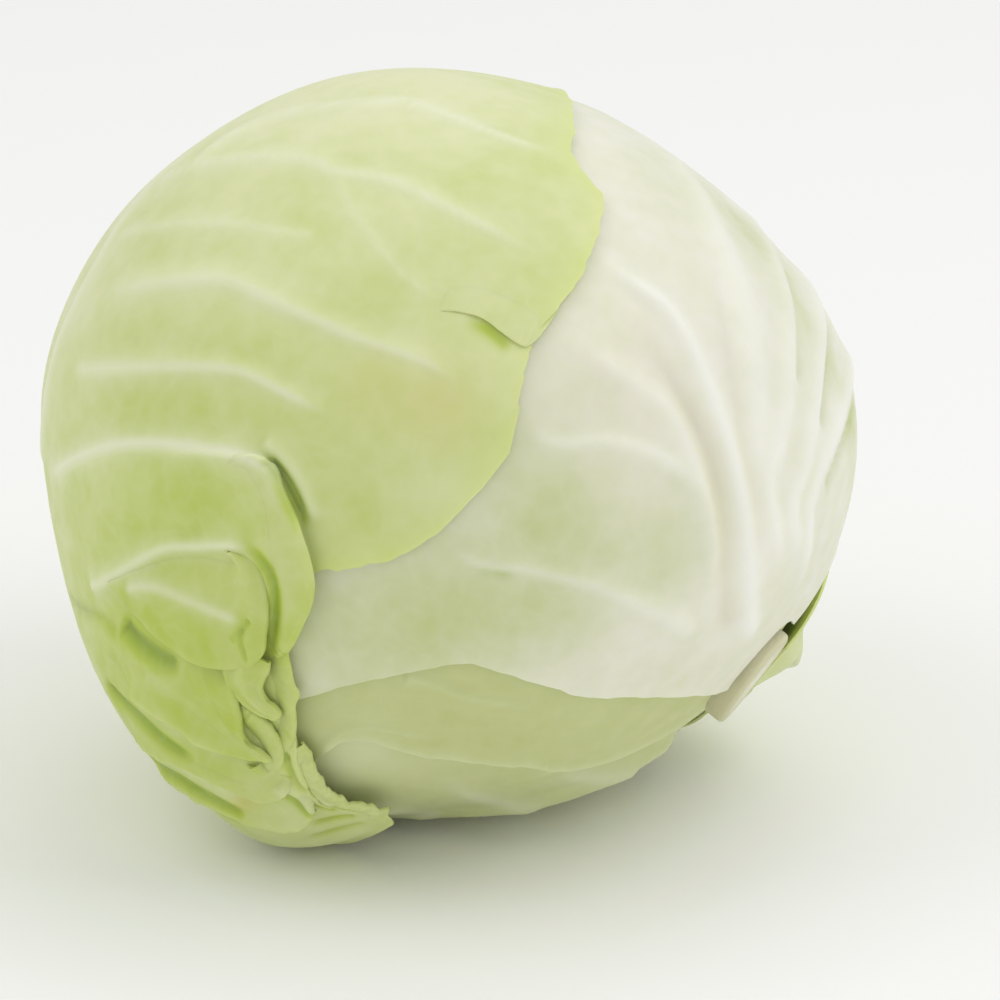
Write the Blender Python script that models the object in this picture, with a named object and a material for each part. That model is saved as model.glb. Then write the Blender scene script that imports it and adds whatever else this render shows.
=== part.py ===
"""A whole green cabbage head lying on its side, cut stump low on the right.

World frame: +X right, -Y towards the side that is shown, +Z up, in metres. The origin is on
the surface it lies on, straight under the middle of the head. Lengths below are millimetres
and angles are degrees until a mesh is made.

Every surface is a distance from the middle of the head, worked out from a direction. The
heart is that distance itself, and each leaf is a closed sheet one or more steps further out,
so the leaves nest without touching.
"""

import math

import bpy
import numpy as np

METRE = 0.001

# Head, as half sizes of its heart and the way that it lies
HALF_WIDTH = 93.3
HALF_HEIGHT = 82.3
HALF_DEPTH = 89.3
LONG_AXIS_CLOCK = -10.0
SHOW_TILT = 22.0

# Leaves: one sheet, and the air to the next
SHEET = 1.0
AIR = 0.8
STEP = SHEET + AIR
HEART_SLACK = 0.4

# Stump of the stalk, and the ring around it that the leaves leave free
STALK_CLOCK = -38.0
STALK_TURN = 84.0
STALK_RADIUS = 13.5
STALK_PROUD = 1.5
STALK_BEVEL = 1.2
STALK_SIDES = 28
NECK = 10.0
SEAT_NARROWING = 9.8
SEAT_AIR = 0.32

# Flat spot under the lowest leaf
REST_CUT = 2.4
REST_LEVEL = 1

# Where directions are turned into lengths along the surface
REACH = 95.0

# Ribs as height, width and the share that both lose along the rib
VEIN = (1.0, 4.0, 0.5)
FOLD_RIDGE = (1.6, 4.5, 0.2)
MAIN_RIB = (2.8, 5.0, 0.5)
SIDE_RIB = (1.6, 5.0, 0.5)
BACK_MIDRIB = (6.0, 9.0, 0.75)
LOWER_MIDRIB = (3.5, 8.0, 0.7)

# Shares of a line over which a rib or a lip rises and dies out, and how soon a lip drops
RIB_START = 0.06
RIB_END = 0.12
LIP_END = 0.12
LIP_DROP = 2.4

# Base colours
HEART_COLOUR = (0.72, 0.76, 0.52)
STALK_COLOUR = (0.80, 0.80, 0.62)
BOTTOM_COLOUR = (0.60, 0.68, 0.36)
BACK_COLOUR = (0.66, 0.74, 0.40)
LOW_COLOUR = (0.62, 0.70, 0.38)
RIGHT_COLOUR = (0.78, 0.80, 0.62)
LEFT_COLOUR = (0.60, 0.72, 0.32)
WAXY = 0.5
DRY = 0.6

# Shading edge of a sheet's rim
SHARP_ANGLE = 50.0


def seen(clock, turn):
    """Unit direction from degrees round the shown side and degrees away from it.

    clock 0 is right and 90 is up, turn 0 faces the viewer and 90 is the outline.
    """
    around = math.radians(clock)
    away = math.radians(turn)
    right = math.sin(away) * math.cos(around)
    up = math.sin(away) * math.sin(around)
    near = math.cos(away)
    return right * RIGHT + up * UPWARD + near * VIEWER


def unit(vectors):
    """Vectors scaled to length 1 along their last axis."""
    return vectors / np.linalg.norm(vectors, axis=-1, keepdims=True)


TILT = math.radians(SHOW_TILT)
RIGHT = np.array([1.0, 0.0, 0.0])
UPWARD = np.array([0.0, math.sin(TILT), math.cos(TILT)])
VIEWER = np.array([0.0, -math.cos(TILT), math.sin(TILT)])
DOWN = np.array([0.0, 0.0, -1.0])
STALK = seen(STALK_CLOCK, STALK_TURN)
STALK_FRONT = unit(VIEWER - (VIEWER @ STALK) * STALK)
STALK_SIDE = np.cross(STALK_FRONT, STALK)


def grown(bearing, angle):
    """Unit direction from a bearing round the stalk and degrees away from it.

    Bearing 0 leaves the stalk towards the viewer, 90 up the right side, 180 behind.
    """
    around = math.radians(bearing)
    away = math.radians(angle)
    side = math.cos(around) * STALK_FRONT + math.sin(around) * STALK_SIDE
    return math.cos(away) * STALK + math.sin(away) * side


# Swellings and flats of the heart: middle, height and spread in degrees
SWELLINGS = [
    (seen(234, 74), 13.0, 25.0),
    (seen(216, 80), 3.0, 15.0),
    (seen(246, 84), 7.0, 13.0),
    (seen(105, 85), 2.0, 20.0),
    (seen(42, 85), -2.5, 16.0),
    (seen(0, 90), 1.8, 48.0),
    (seen(284, 104), 6.0, 34.0),
    (seen(272, 120), 2.5, 30.0),
    (STALK, -5.0, 22.0),
]


def angle_to(directions, target):
    """Degrees between each direction and one target."""
    return np.degrees(np.arccos(np.clip(directions @ target, -1.0, 1.0)))


def heart_distance(directions):
    """Distance from the middle to the heart: an ellipsoid with soft swellings."""
    turn = math.radians(LONG_AXIS_CLOCK)
    right = directions @ RIGHT
    up = directions @ UPWARD
    near = directions @ VIEWER
    along = right * math.cos(turn) + up * math.sin(turn)
    across = up * math.cos(turn) - right * math.sin(turn)
    squares = (along / HALF_WIDTH) ** 2 + (across / HALF_HEIGHT) ** 2 + (near / HALF_DEPTH) ** 2
    distance = 1.0 / np.sqrt(squares)
    for middle, height, spread in SWELLINGS:
        distance = distance + height * np.exp(-((angle_to(directions, middle) / spread) ** 2))
    return distance


REST_HEIGHT = float(heart_distance(DOWN)) + REST_LEVEL * STEP - REST_CUT
SEAT_HEIGHT = float(heart_distance(grown(0.0, SEAT_NARROWING))) * math.cos(math.radians(SEAT_NARROWING))
MIDDLE = np.array([0.0, 0.0, REST_HEIGHT])


def skin(directions, raised):
    """Points a given height above the heart, pressed flat underneath where the head rests."""
    distance = heart_distance(directions) + raised
    floor = (REST_HEIGHT - REST_LEVEL * STEP + raised) / np.maximum(directions @ DOWN, 0.05)
    return MIDDLE + directions * np.minimum(distance, floor)[..., None]


def smooth_curve(points, places):
    """Directions along a smooth spline through the points, at places counted in points.

    A Catmull-Rom spline of the unit vectors, put back on the unit sphere.
    """
    knots = np.vstack([2 * points[0] - points[1], points, 2 * points[-1] - points[-2]])
    start = np.clip(np.floor(places).astype(int), 0, len(points) - 2)
    t = (places - start)[:, None]
    before, here, there, after = (knots[start + k] for k in range(4))
    bend = (2 * before - 5 * here + 4 * there - after) * t**2
    swing = (3 * here - before - 3 * there + after) * t**3
    return unit(0.5 * (2 * here + (there - before) * t + bend + swing))


def between(first, second, share):
    """Directions a share of the way along the arc from the first to the second."""
    gap = np.arccos(np.clip(np.sum(first * second, axis=-1, keepdims=True), -1.0, 1.0))
    gap = np.maximum(gap, 1e-6)
    return unit((np.sin((1 - share) * gap) * first + np.sin(share * gap) * second) / np.sin(gap))


def clear_of_stalk(directions):
    """Directions moved out to the neck ring where they would come closer to the stump."""
    along = np.clip(directions @ STALK, -1.0, 1.0)
    side = unit(directions - along[..., None] * STALK)
    angle = np.maximum(np.arccos(along), math.radians(NECK))[..., None]
    return np.cos(angle) * STALK + np.sin(angle) * side


def line_distance(directions, line):
    """Signed distance in millimetres to an open line of directions, and the place along it.

    It is positive on the left of the line, looking along it from outside the head. The
    place goes from 0 at the line's start to 1 at its end.
    """
    shape = directions.shape[:-1]
    flat = directions.reshape(-1, 3)
    start, step = line[:-1], np.diff(line, axis=0)
    offset = flat[:, None, :] - start[None]
    share = np.clip(np.sum(offset * step, axis=-1) / np.sum(step * step, axis=-1), 0.0, 1.0)
    away = offset - share[..., None] * step[None]
    nearest = np.argmin(np.sum(away * away, axis=-1), axis=1)
    rows = np.arange(len(flat))
    gap = away[rows, nearest]
    side = np.sum(np.cross(step[nearest], gap) * flat, axis=-1)
    place = (nearest + share[rows, nearest]) / len(step)
    signed = np.where(side >= 0, 1.0, -1.0) * np.linalg.norm(gap, axis=-1) * REACH
    return signed.reshape(shape), place.reshape(shape)


def drawn(points, count=40):
    """A fine line of directions through (clock, turn) points."""
    corners = np.array([seen(clock, turn) for clock, turn in points])
    return smooth_curve(corners, np.linspace(0, len(points) - 1, count))


def rib_height(directions, line, size):
    """A rounded rib along a line, lower and narrower towards its end.

    Its size is a height, a width and the share that it loses of both.
    """
    height, width, taper = size
    away, place = line_distance(directions, line)
    slim = 1.0 - taper * place
    ends = np.clip(place / RIB_START, 0, 1) * np.clip((1 - place) / RIB_END, 0, 1)
    return height * slim * ends * np.exp(-((away / (width * slim)) ** 2))


def lip_height(directions, line, height, reach):
    """A fold that stands up to a free edge on a line and falls off on the line's left.

    Left of the line it is a slope that dies out over the reach, and right of it a drop.
    """
    away, place = line_distance(directions, line)
    ends = np.clip(place / LIP_END, 0, 1) * np.clip((1 - place) / LIP_END, 0, 1)
    slope = np.exp(-((np.maximum(away, 0) / reach) ** 2))
    edge = np.clip(1 + away / LIP_DROP, 0, 1)
    return height * ends * slope * edge


# Veins of the big left leaf, from behind its left side to its margin
LEFT_VEINS = [
    [(172, 92), (170, 66), (166.5, 46.5), (163, 34), (163, 27), (168, 20), (171, 12)],
    [(162, 90), (158, 64), (150, 49), (143, 36.5), (140, 27), (131, 18), (104, 10), (60, 7.5)],
    [(146, 90), (140, 74), (129, 61.5), (117, 50.5), (104, 41.5), (86, 33), (76, 31), (62, 30)],
    [(136, 84), (125, 69), (111.5, 64.5), (97.5, 60), (90.5, 56), (81, 52), (70, 50.5)],
]

# Ridges and free edges of its crumpled lower corner, free edges with the fold on their left
FOLD_RIDGES = [
    [(187, 80), (183, 63), (181, 53.5), (181, 44.5), (182.5, 35.5), (184, 26)],
    [(203, 68), (202.5, 60), (202, 51.5), (201.5, 46), (203, 39), (207, 34)],
    [(202.5, 61), (207, 49), (212.5, 44), (220, 39)],
    [(216, 74), (217.5, 66), (224, 61.5), (231, 60), (238, 59.5)],
    [(224, 76), (226.5, 69), (232, 65), (242, 64.5), (247, 61.5)],
]
FOLD_EDGES = [
    ([(231, 42), (233, 37.5), (230.5, 31), (226.5, 27.5), (221, 25.5), (204, 23.5), (187, 24.5)], 4.5, 26.0),
    ([(229, 41), (227, 38), (222, 34), (213.5, 32), (207, 33.5)], 4.0, 14.0),
    ([(205, 59), (210, 56.5), (219, 51), (225.5, 46.5), (230, 43), (233, 43), (238, 48)], 4.0, 12.0),
    ([(241, 57), (238, 57.5), (233, 52.5), (228, 49), (225, 47)], 4.0, 14.0),
    ([(216, 67), (224, 61.5), (231, 60), (238, 59.5), (241, 57), (244.5, 62)], 4.0, 9.0),
    ([(226, 70), (232, 65), (241.5, 64.5), (247.5, 61.5), (250, 67), (247, 73)], 3.5, 9.0),
]

# Veins of the right leaf, from the stalk to its margin, the thickest first
RIGHT_VEINS = [
    [(-34, 68), (-31, 58.5), (-23, 50), (-9, 43.5), (3.5, 42.3), (12, 41.3), (22, 39.5), (30.5, 38.5),
     (38, 38), (48, 40)],
    [(-37, 60), (-26, 46.5), (-16, 40.5), (-2, 36), (6, 33.5), (12.5, 30), (20, 27), (36, 23.5)],
    [(-34, 54), (-24, 44.5), (-12.5, 37.5), (-5, 29.5), (0, 20), (0, 12)],
    [(-38, 52), (-40.5, 43), (-46, 30), (-58, 22.5), (-88, 15.5)],
    [(-34, 66), (-27, 60), (-3, 51.5), (13, 56), (18, 60), (24, 65), (29, 67.5)],
    [(-34, 72), (-26, 65), (-13, 58), (3, 60.5), (12, 66), (19, 73)],
]

# Midribs at the back and below, from the stalk outwards
BACK_RIB = [grown(165, 13), grown(167, 40), grown(170, 75), grown(172, 110), seen(172, 98)]
LOWER_RIB = [grown(-88, 13), grown(-90, 30), grown(-92, 52), grown(-98, 80)]


def midrib(points, count=30):
    """A fine line of directions through directions already turned to the world."""
    corners = np.array(points)
    return smooth_curve(corners, np.linspace(0, len(points) - 1, count))


def left_relief(directions):
    """Height of veins, midrib and folds on the big left leaf."""
    height = 0.0
    for vein in LEFT_VEINS:
        height = height + rib_height(directions, drawn(vein), VEIN)
    for ridge in FOLD_RIDGES:
        height = height + rib_height(directions, drawn(ridge), FOLD_RIDGE)
    folds = [lip_height(directions, drawn(edge), rise, reach) for edge, rise, reach in FOLD_EDGES]
    back = rib_height(directions, midrib(BACK_RIB), BACK_MIDRIB)
    return height + np.maximum.reduce(folds) + back


def right_relief(directions):
    """Height of the veins on the right leaf."""
    height = 0.0
    for vein, size in zip(RIGHT_VEINS, [MAIN_RIB] + [SIDE_RIB] * (len(RIGHT_VEINS) - 1)):
        height = height + rib_height(directions, drawn(vein), size)
    return height


def lower_relief(directions):
    """Height of the midrib under the bottom leaf."""
    return rib_height(directions, midrib(LOWER_RIB), LOWER_MIDRIB)


def no_relief(directions):
    """A plain sheet, for a leaf that the others cover."""
    return np.zeros(directions.shape[:-1])


# Leaves from the stalk to the tip, each row one side of the leaf, its middle, its other side
LEFT_LEAF = [
    (grown(140, NECK), grown(164, NECK), grown(188, NECK)),
    (grown(130, 36), grown(163, 38), grown(195, 36)),
    (grown(122, 68), grown(162, 70), grown(200, 68)),
    (grown(107, 104), grown(166, 100), grown(-128, 92)),
    (seen(73, 95), seen(140, 132), seen(238, 108)),
    (seen(71, 80), seen(168, 106), seen(257, 82)),
    (seen(68.5, 61), seen(171, 84), seen(261, 71)),
    (seen(65.5, 51), seen(169, 64), seen(249.5, 65)),
    (seen(57, 44.7), seen(166, 47), seen(241.5, 51)),
    (seen(52.3, 36), seen(163.5, 33), seen(233, 41)),
    (seen(49.5, 26.5), seen(165, 21), seen(226, 29)),
    (seen(48, 18), seen(166, 9), seen(236, 22.3)),
    (seen(36, 12.8), seen(0, 2.5), seen(258, 15.2)),
    (seen(18, 10.3), seen(-15, 8.9), seen(-55, 8.6)),
]
RIGHT_LEAF = [
    (grown(104, NECK), grown(36, NECK), grown(-22, NECK)),
    (grown(108, 21), grown(33, 26), grown(-22, 30)),
    (seen(-8, 105), seen(-20, 49), seen(-64, 46)),
    (seen(10, 107), seen(-5, 43.5), seen(-83, 35)),
    (seen(26, 106), seen(8, 41.8), seen(262, 36.5)),
    (seen(40, 103), seen(20, 40), seen(248, 41.8)),
    (seen(52, 99), seen(33, 38.3), seen(236, 49.2)),
    (seen(62, 94), seen(48, 40), seen(216, 40)),
    (seen(70, 87), seen(62, 45), seen(190, 31)),
    (seen(78, 78), seen(78, 51), seen(145, 31)),
    (seen(86, 70), seen(92, 59), seen(108, 47)),
]
LOW_LEAF = [
    (grown(-12, NECK), grown(-36, NECK), grown(-58, NECK)),
    (grown(-8, 38), grown(-33, 36), grown(-58, 34)),
    (seen(-58, 26), seen(-74, 42), seen(-76, 62)),
    (seen(-100, 24), seen(-92, 42), seen(268.5, 56.7)),
    (seen(242, 30), seen(255, 44), seen(252, 53.3)),
    (seen(228, 46), seen(236, 54), seen(246, 65.5)),
]
BOTTOM_LEAF = [
    (grown(-50, NECK), grown(-90, NECK), grown(-130, NECK)),
    (grown(-46, 40), grown(-94, 42), grown(-145, 42)),
    (seen(-84, 42), grown(-98, 60), grown(-158, 74)),
    (seen(254, 44), seen(254, 86), grown(-160, 100)),
    (seen(241, 50), seen(240, 78), seen(218, 122)),
    (seen(230, 56), seen(226, 74), seen(210, 96)),
]
BACK_LEAF = [
    (grown(72, NECK), grown(136, NECK), grown(206, NECK)),
    (grown(68, 36), grown(138, 40), grown(211, 38)),
    (seen(12, 90), grown(146, 76), grown(215, 72)),
    (seen(42, 88), grown(154, 106), grown(216, 102)),
    (seen(70, 84), seen(124, 114), grown(214, 130)),
    (seen(92, 82), seen(120, 94), seen(170, 98)),
]


def spread(stops, counts):
    """Places from the first stop to the last, with a count of equal steps in each stretch."""
    places = [stops[0]]
    for low, high, count in zip(stops[:-1], stops[1:], counts):
        places.extend(np.linspace(low, high, count + 1)[1:])
    return np.array(places)


def leaf_directions(stations, rows, columns):
    """Directions over a leaf, a grid of rows along it and columns across it.

    Each side of the middle line is an arc to that side's margin, and columns go from -1 at
    the first side to 1 at the other.
    """
    first, middle, other = (
        smooth_curve(np.array([row[k] for row in stations]), rows)[:, None, :] for k in range(3)
    )
    share = np.abs(columns)[None, :, None]
    towards = np.where(columns[None, :, None] < 0, first, other)
    return clear_of_stalk(between(np.broadcast_to(middle, towards.shape), towards, share))


def closed_sheet(outer, inner):
    """Points and triangles of the closed solid between two grids, split alike on both."""
    rows, columns = outer.shape[:2]
    index = np.arange(rows * columns).reshape(rows, columns)
    a, b = index[:-1, :-1].ravel(), index[:-1, 1:].ravel()
    c, d = index[1:, 1:].ravel(), index[1:, :-1].ravel()
    top = np.vstack([np.stack([a, b, c], 1), np.stack([a, c, d], 1)])
    under = top[:, ::-1] + index.size
    rim = np.concatenate([index[0, :-1], index[:-1, -1], index[-1, :0:-1], index[:0:-1, 0]])
    following = np.roll(rim, -1)
    walls = np.vstack([
        np.stack([following, rim, rim + index.size], 1),
        np.stack([following, rim + index.size, following + index.size], 1),
    ])
    points = np.vstack([outer.reshape(-1, 3), inner.reshape(-1, 3)])
    return points, np.vstack([top, under, walls])


def plain_material(name, colour, roughness):
    """A Principled material with one colour."""
    material = bpy.data.materials.new(name)
    material.use_nodes = True
    shader = material.node_tree.nodes["Principled BSDF"]
    shader.inputs["Base Color"].default_value = (*colour, 1.0)
    shader.inputs["Roughness"].default_value = roughness
    shader.inputs["Metallic"].default_value = 0.0
    return material


def add_object(name, points, triangles, colour, roughness=WAXY):
    """A smooth-shaded object from points in millimetres."""
    mesh = bpy.data.meshes.new(name)
    mesh.from_pydata((points * METRE).tolist(), [], triangles.tolist())
    mesh.shade_smooth()
    mesh.set_sharp_from_angle(angle=math.radians(SHARP_ANGLE))
    mesh.materials.append(plain_material(name, colour, roughness))
    placed = bpy.data.objects.new(name, mesh)
    bpy.context.scene.collection.objects.link(placed)
    return placed


def add_leaf(name, stations, level, rows, columns, relief, colour):
    """One leaf: a sheet at its level, with its relief raised on the outer side."""
    directions = leaf_directions(stations, rows, columns)
    top = level * STEP
    outer = skin(directions, top + relief(directions))
    inner = skin(directions, np.full(directions.shape[:-1], top - SHEET))
    points, triangles = closed_sheet(outer, inner)
    if leaf_faces_in(outer):
        triangles = triangles[:, ::-1]
    return add_object(name, points, triangles, colour)


def leaf_faces_in(outer):
    """Whether the grid's own turning direction points to the middle of the head."""
    across = outer[1, 1] - outer[1, 0]
    along = outer[2, 1] - outer[1, 1]
    return np.cross(across, along) @ (outer[1, 1] - MIDDLE) < 0


def add_heart():
    """The tightly packed inner leaves, as one solid."""
    ball_name = "heart"
    bpy.ops.mesh.primitive_ico_sphere_add(subdivisions=4, radius=1.0)
    ball = bpy.context.active_object
    ball.name = ball_name
    mesh = ball.data
    mesh.name = ball_name
    count = len(mesh.vertices)
    places = np.empty(count * 3)
    mesh.vertices.foreach_get("co", places)
    directions = unit(places.reshape(-1, 3))
    seat = SEAT_HEIGHT / np.maximum(directions @ STALK, 0.05)
    floor = (REST_HEIGHT - REST_LEVEL * STEP) / np.maximum(directions @ DOWN, 0.05)
    distance = np.minimum(heart_distance(directions), np.minimum(seat, floor)) - HEART_SLACK
    points = (MIDDLE + directions * distance[:, None]) * METRE
    mesh.vertices.foreach_set("co", points.ravel())
    mesh.update()
    mesh.shade_smooth()
    mesh.materials.append(plain_material(ball_name, HEART_COLOUR, WAXY))
    return ball


def add_stalk():
    """The cut stump, a short round peg with a soft edge, turned onto the stalk's line."""
    seat = SEAT_HEIGHT - HEART_SLACK + SEAT_AIR
    collar = float(heart_distance(grown(90.0, NECK))) * math.cos(math.radians(NECK)) + 3 * STEP
    length = collar + STALK_PROUD - seat
    profile = [
        (STALK_RADIUS, 0.0),
        (STALK_RADIUS, length - STALK_BEVEL),
        (STALK_RADIUS - STALK_BEVEL * 0.3, length - STALK_BEVEL * 0.3),
        (STALK_RADIUS - STALK_BEVEL, length),
    ]
    turns = np.radians(np.arange(STALK_SIDES) * 360.0 / STALK_SIDES)
    rounds = np.cos(turns)[:, None] * STALK_FRONT + np.sin(turns)[:, None] * STALK_SIDE
    rings = [MIDDLE + STALK * (seat + up) + rounds * radius for radius, up in profile]
    ends = np.vstack([MIDDLE + STALK * seat, MIDDLE + STALK * (seat + length)])
    points = np.vstack(rings + [ends])
    faces = []
    last = len(profile) * STALK_SIDES
    for k in range(STALK_SIDES):
        n = (k + 1) % STALK_SIDES
        for ring in range(len(profile) - 1):
            low, high = ring * STALK_SIDES, (ring + 1) * STALK_SIDES
            faces.append((low + k, high + k, high + n))
            faces.append((low + k, high + n, low + n))
        top = (len(profile) - 1) * STALK_SIDES
        faces.append((last, k, n))
        faces.append((last + 1, top + n, top + k))
    return add_object("stalk", points, np.array(faces), STALK_COLOUR, DRY)


def main():
    """Builds the head from the inside out."""
    for old in list(bpy.data.objects):
        bpy.data.objects.remove(old, do_unlink=True)
    add_heart()
    add_stalk()
    add_leaf("bottom_leaf", BOTTOM_LEAF, 1, spread([0, 5], [22]), spread([-1, 0, 1], [8, 11]),
             lower_relief, BOTTOM_COLOUR)
    add_leaf("back_leaf", BACK_LEAF, 2, spread([0, 5], [24]), spread([-1, 0, 1], [11, 10]),
             no_relief, BACK_COLOUR)
    add_leaf("low_leaf", LOW_LEAF, 2, spread([0, 5], [18]), spread([-1, 0, 1], [4, 4]),
             no_relief, LOW_COLOUR)
    add_leaf("right_leaf", RIGHT_LEAF, 3, spread([0, 10], [24]), spread([-1, 0, 1], [12, 16]),
             right_relief, RIGHT_COLOUR)
    add_leaf("left_leaf", LEFT_LEAF, 4, spread([0, 3, 5, 6, 10, 13], [9, 8, 3, 26, 6]),
             spread([-1, 0, 0.3, 1], [9, 3, 24]), left_relief, LEFT_COLOUR)


if __name__ == "__main__":
    main()
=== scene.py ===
"""Looks of a whole green cabbage head that lies on its side.

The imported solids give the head's place and size. Every leaf is made again here as a finer
closed sheet on the same nested form, with its veins, pleats and folds, and dressed as waxy
leaf tissue. Lengths are millimetres and angles are degrees until a mesh is made. A direction
is a unit vector from the middle of the head, and most are given as two angles: the clock
angle round the shown side (0 right, 90 up) and the turn away from it (0 faces the viewer,
90 is the outline).
"""

import logging
import math
from dataclasses import dataclass
from enum import Enum
from typing import Callable, Sequence

import bpy
import numpy as np
from mathutils import Matrix, Vector


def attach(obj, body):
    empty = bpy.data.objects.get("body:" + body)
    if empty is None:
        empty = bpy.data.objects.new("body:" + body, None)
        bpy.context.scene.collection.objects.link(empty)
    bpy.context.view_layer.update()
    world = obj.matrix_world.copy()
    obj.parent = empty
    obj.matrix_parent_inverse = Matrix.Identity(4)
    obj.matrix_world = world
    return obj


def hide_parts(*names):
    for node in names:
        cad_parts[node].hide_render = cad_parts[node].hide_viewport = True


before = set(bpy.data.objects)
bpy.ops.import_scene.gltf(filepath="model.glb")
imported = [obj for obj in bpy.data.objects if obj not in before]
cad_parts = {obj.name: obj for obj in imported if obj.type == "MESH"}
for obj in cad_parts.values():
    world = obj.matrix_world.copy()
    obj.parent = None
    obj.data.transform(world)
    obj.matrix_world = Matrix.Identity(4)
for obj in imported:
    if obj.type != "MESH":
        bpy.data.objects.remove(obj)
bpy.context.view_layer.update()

LOG = logging.getLogger("cabbage")
METRE = 0.001

Array = np.ndarray
Place = tuple[float, float]
Tree = bpy.types.NodeTree
Socket = bpy.types.NodeSocket


# Directions and the head's form


def unit(vectors: Array) -> Array:
    """Vectors scaled to length 1 along their last axis."""
    return vectors / np.linalg.norm(vectors, axis=-1, keepdims=True)


SHOW_TILT = math.radians(22.0)
RIGHT = np.array([1.0, 0.0, 0.0])
UPWARD = np.array([0.0, math.sin(SHOW_TILT), math.cos(SHOW_TILT)])
VIEWER = np.array([0.0, -math.cos(SHOW_TILT), math.sin(SHOW_TILT)])
DOWN = np.array([0.0, 0.0, -1.0])


def seen(clock: float, turn: float) -> Array:
    """Unit direction from its clock angle and its turn.

    Args:
        clock: degrees round the shown side, 0 right and 90 up.
        turn: degrees away from the shown side.

    Returns:
        sin(turn) times the direction of the clock angle, plus cos(turn) towards the viewer.
    """
    around = math.radians(clock)
    away = math.radians(turn)
    flat = math.cos(around) * RIGHT + math.sin(around) * UPWARD
    return math.sin(away) * flat + math.cos(away) * VIEWER


STALK = seen(-38.0, 84.0)
STALK_FRONT = unit(VIEWER - (VIEWER @ STALK) * STALK)
STALK_SIDE = np.cross(STALK_FRONT, STALK)


def grown(bearing: float, angle: float) -> Array:
    """Unit direction from a bearing round the stalk and degrees away from it.

    Args:
        bearing: 0 leaves the stalk towards the viewer, 90 goes up the right side.
        angle: degrees from the stalk's own direction.

    Returns:
        cos(angle) times the stalk plus sin(angle) times the direction of the bearing.
    """
    around = math.radians(bearing)
    away = math.radians(angle)
    side = math.cos(around) * STALK_FRONT + math.sin(around) * STALK_SIDE
    return math.cos(away) * STALK + math.sin(away) * side


def smooth(share: Array) -> Array:
    """A soft step from 0 to 1: 3 s² - 2 s³ of the share, held outside 0 to 1."""
    held = np.clip(share, 0.0, 1.0)
    return held * held * (3.0 - 2.0 * held)


def smooth_curve(points: Array, places: Array) -> Array:
    """Directions along a Catmull-Rom spline of unit vectors, put back on the unit sphere.

    Args:
        points: the directions that the curve goes through.
        places: where to read it, counted in points from 0.

    Returns:
        One direction for each place.
    """
    knots = np.vstack([2 * points[0] - points[1], points, 2 * points[-1] - points[-2]])
    start = np.clip(np.floor(places).astype(int), 0, len(points) - 2)
    t = (places - start)[:, None]
    before, here, there, after = (knots[start + k] for k in range(4))
    bend = (2 * before - 5 * here + 4 * there - after) * t**2
    swing = (3 * here - before - 3 * there + after) * t**3
    return unit(0.5 * (2 * here + (there - before) * t + bend + swing))


def between(first: Array, second: Array, share: Array) -> Array:
    """Directions a share of the way along the arc from the first to the second.

    The arc's weights are sin((1 - s) a) and sin(s a), over sin(a), for the arc's angle a.
    """
    gap = np.arccos(np.clip(np.sum(first * second, axis=-1, keepdims=True), -1.0, 1.0))
    gap = np.maximum(gap, 1e-6)
    return unit((np.sin((1 - share) * gap) * first + np.sin(share * gap) * second) / np.sin(gap))


def read_stops(values: Sequence[float], places: Array) -> Array:
    """Values at places from 0 to 1, by straight runs between equally spaced stops."""
    return np.interp(places * (len(values) - 1), np.arange(len(values)), values)


def drawn(points: Sequence[Place], count: int = 40) -> Array:
    """A fine line of directions through places given by clock and turn."""
    corners = np.array([seen(clock, turn) for clock, turn in points])
    return smooth_curve(corners, np.linspace(0, len(points) - 1, count))


@dataclass(frozen=True)
class Swelling:
    """A soft rise of the heart, or a hollow where its height is below 0."""

    middle: Array
    height: float
    spread: float

    def over(self, directions: Array) -> Array:
        """Its height times exp(-(angle to its middle / spread)²)."""
        angle = np.degrees(np.arccos(np.clip(directions @ self.middle, -1.0, 1.0)))
        return self.height * np.exp(-((angle / self.spread) ** 2))


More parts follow.
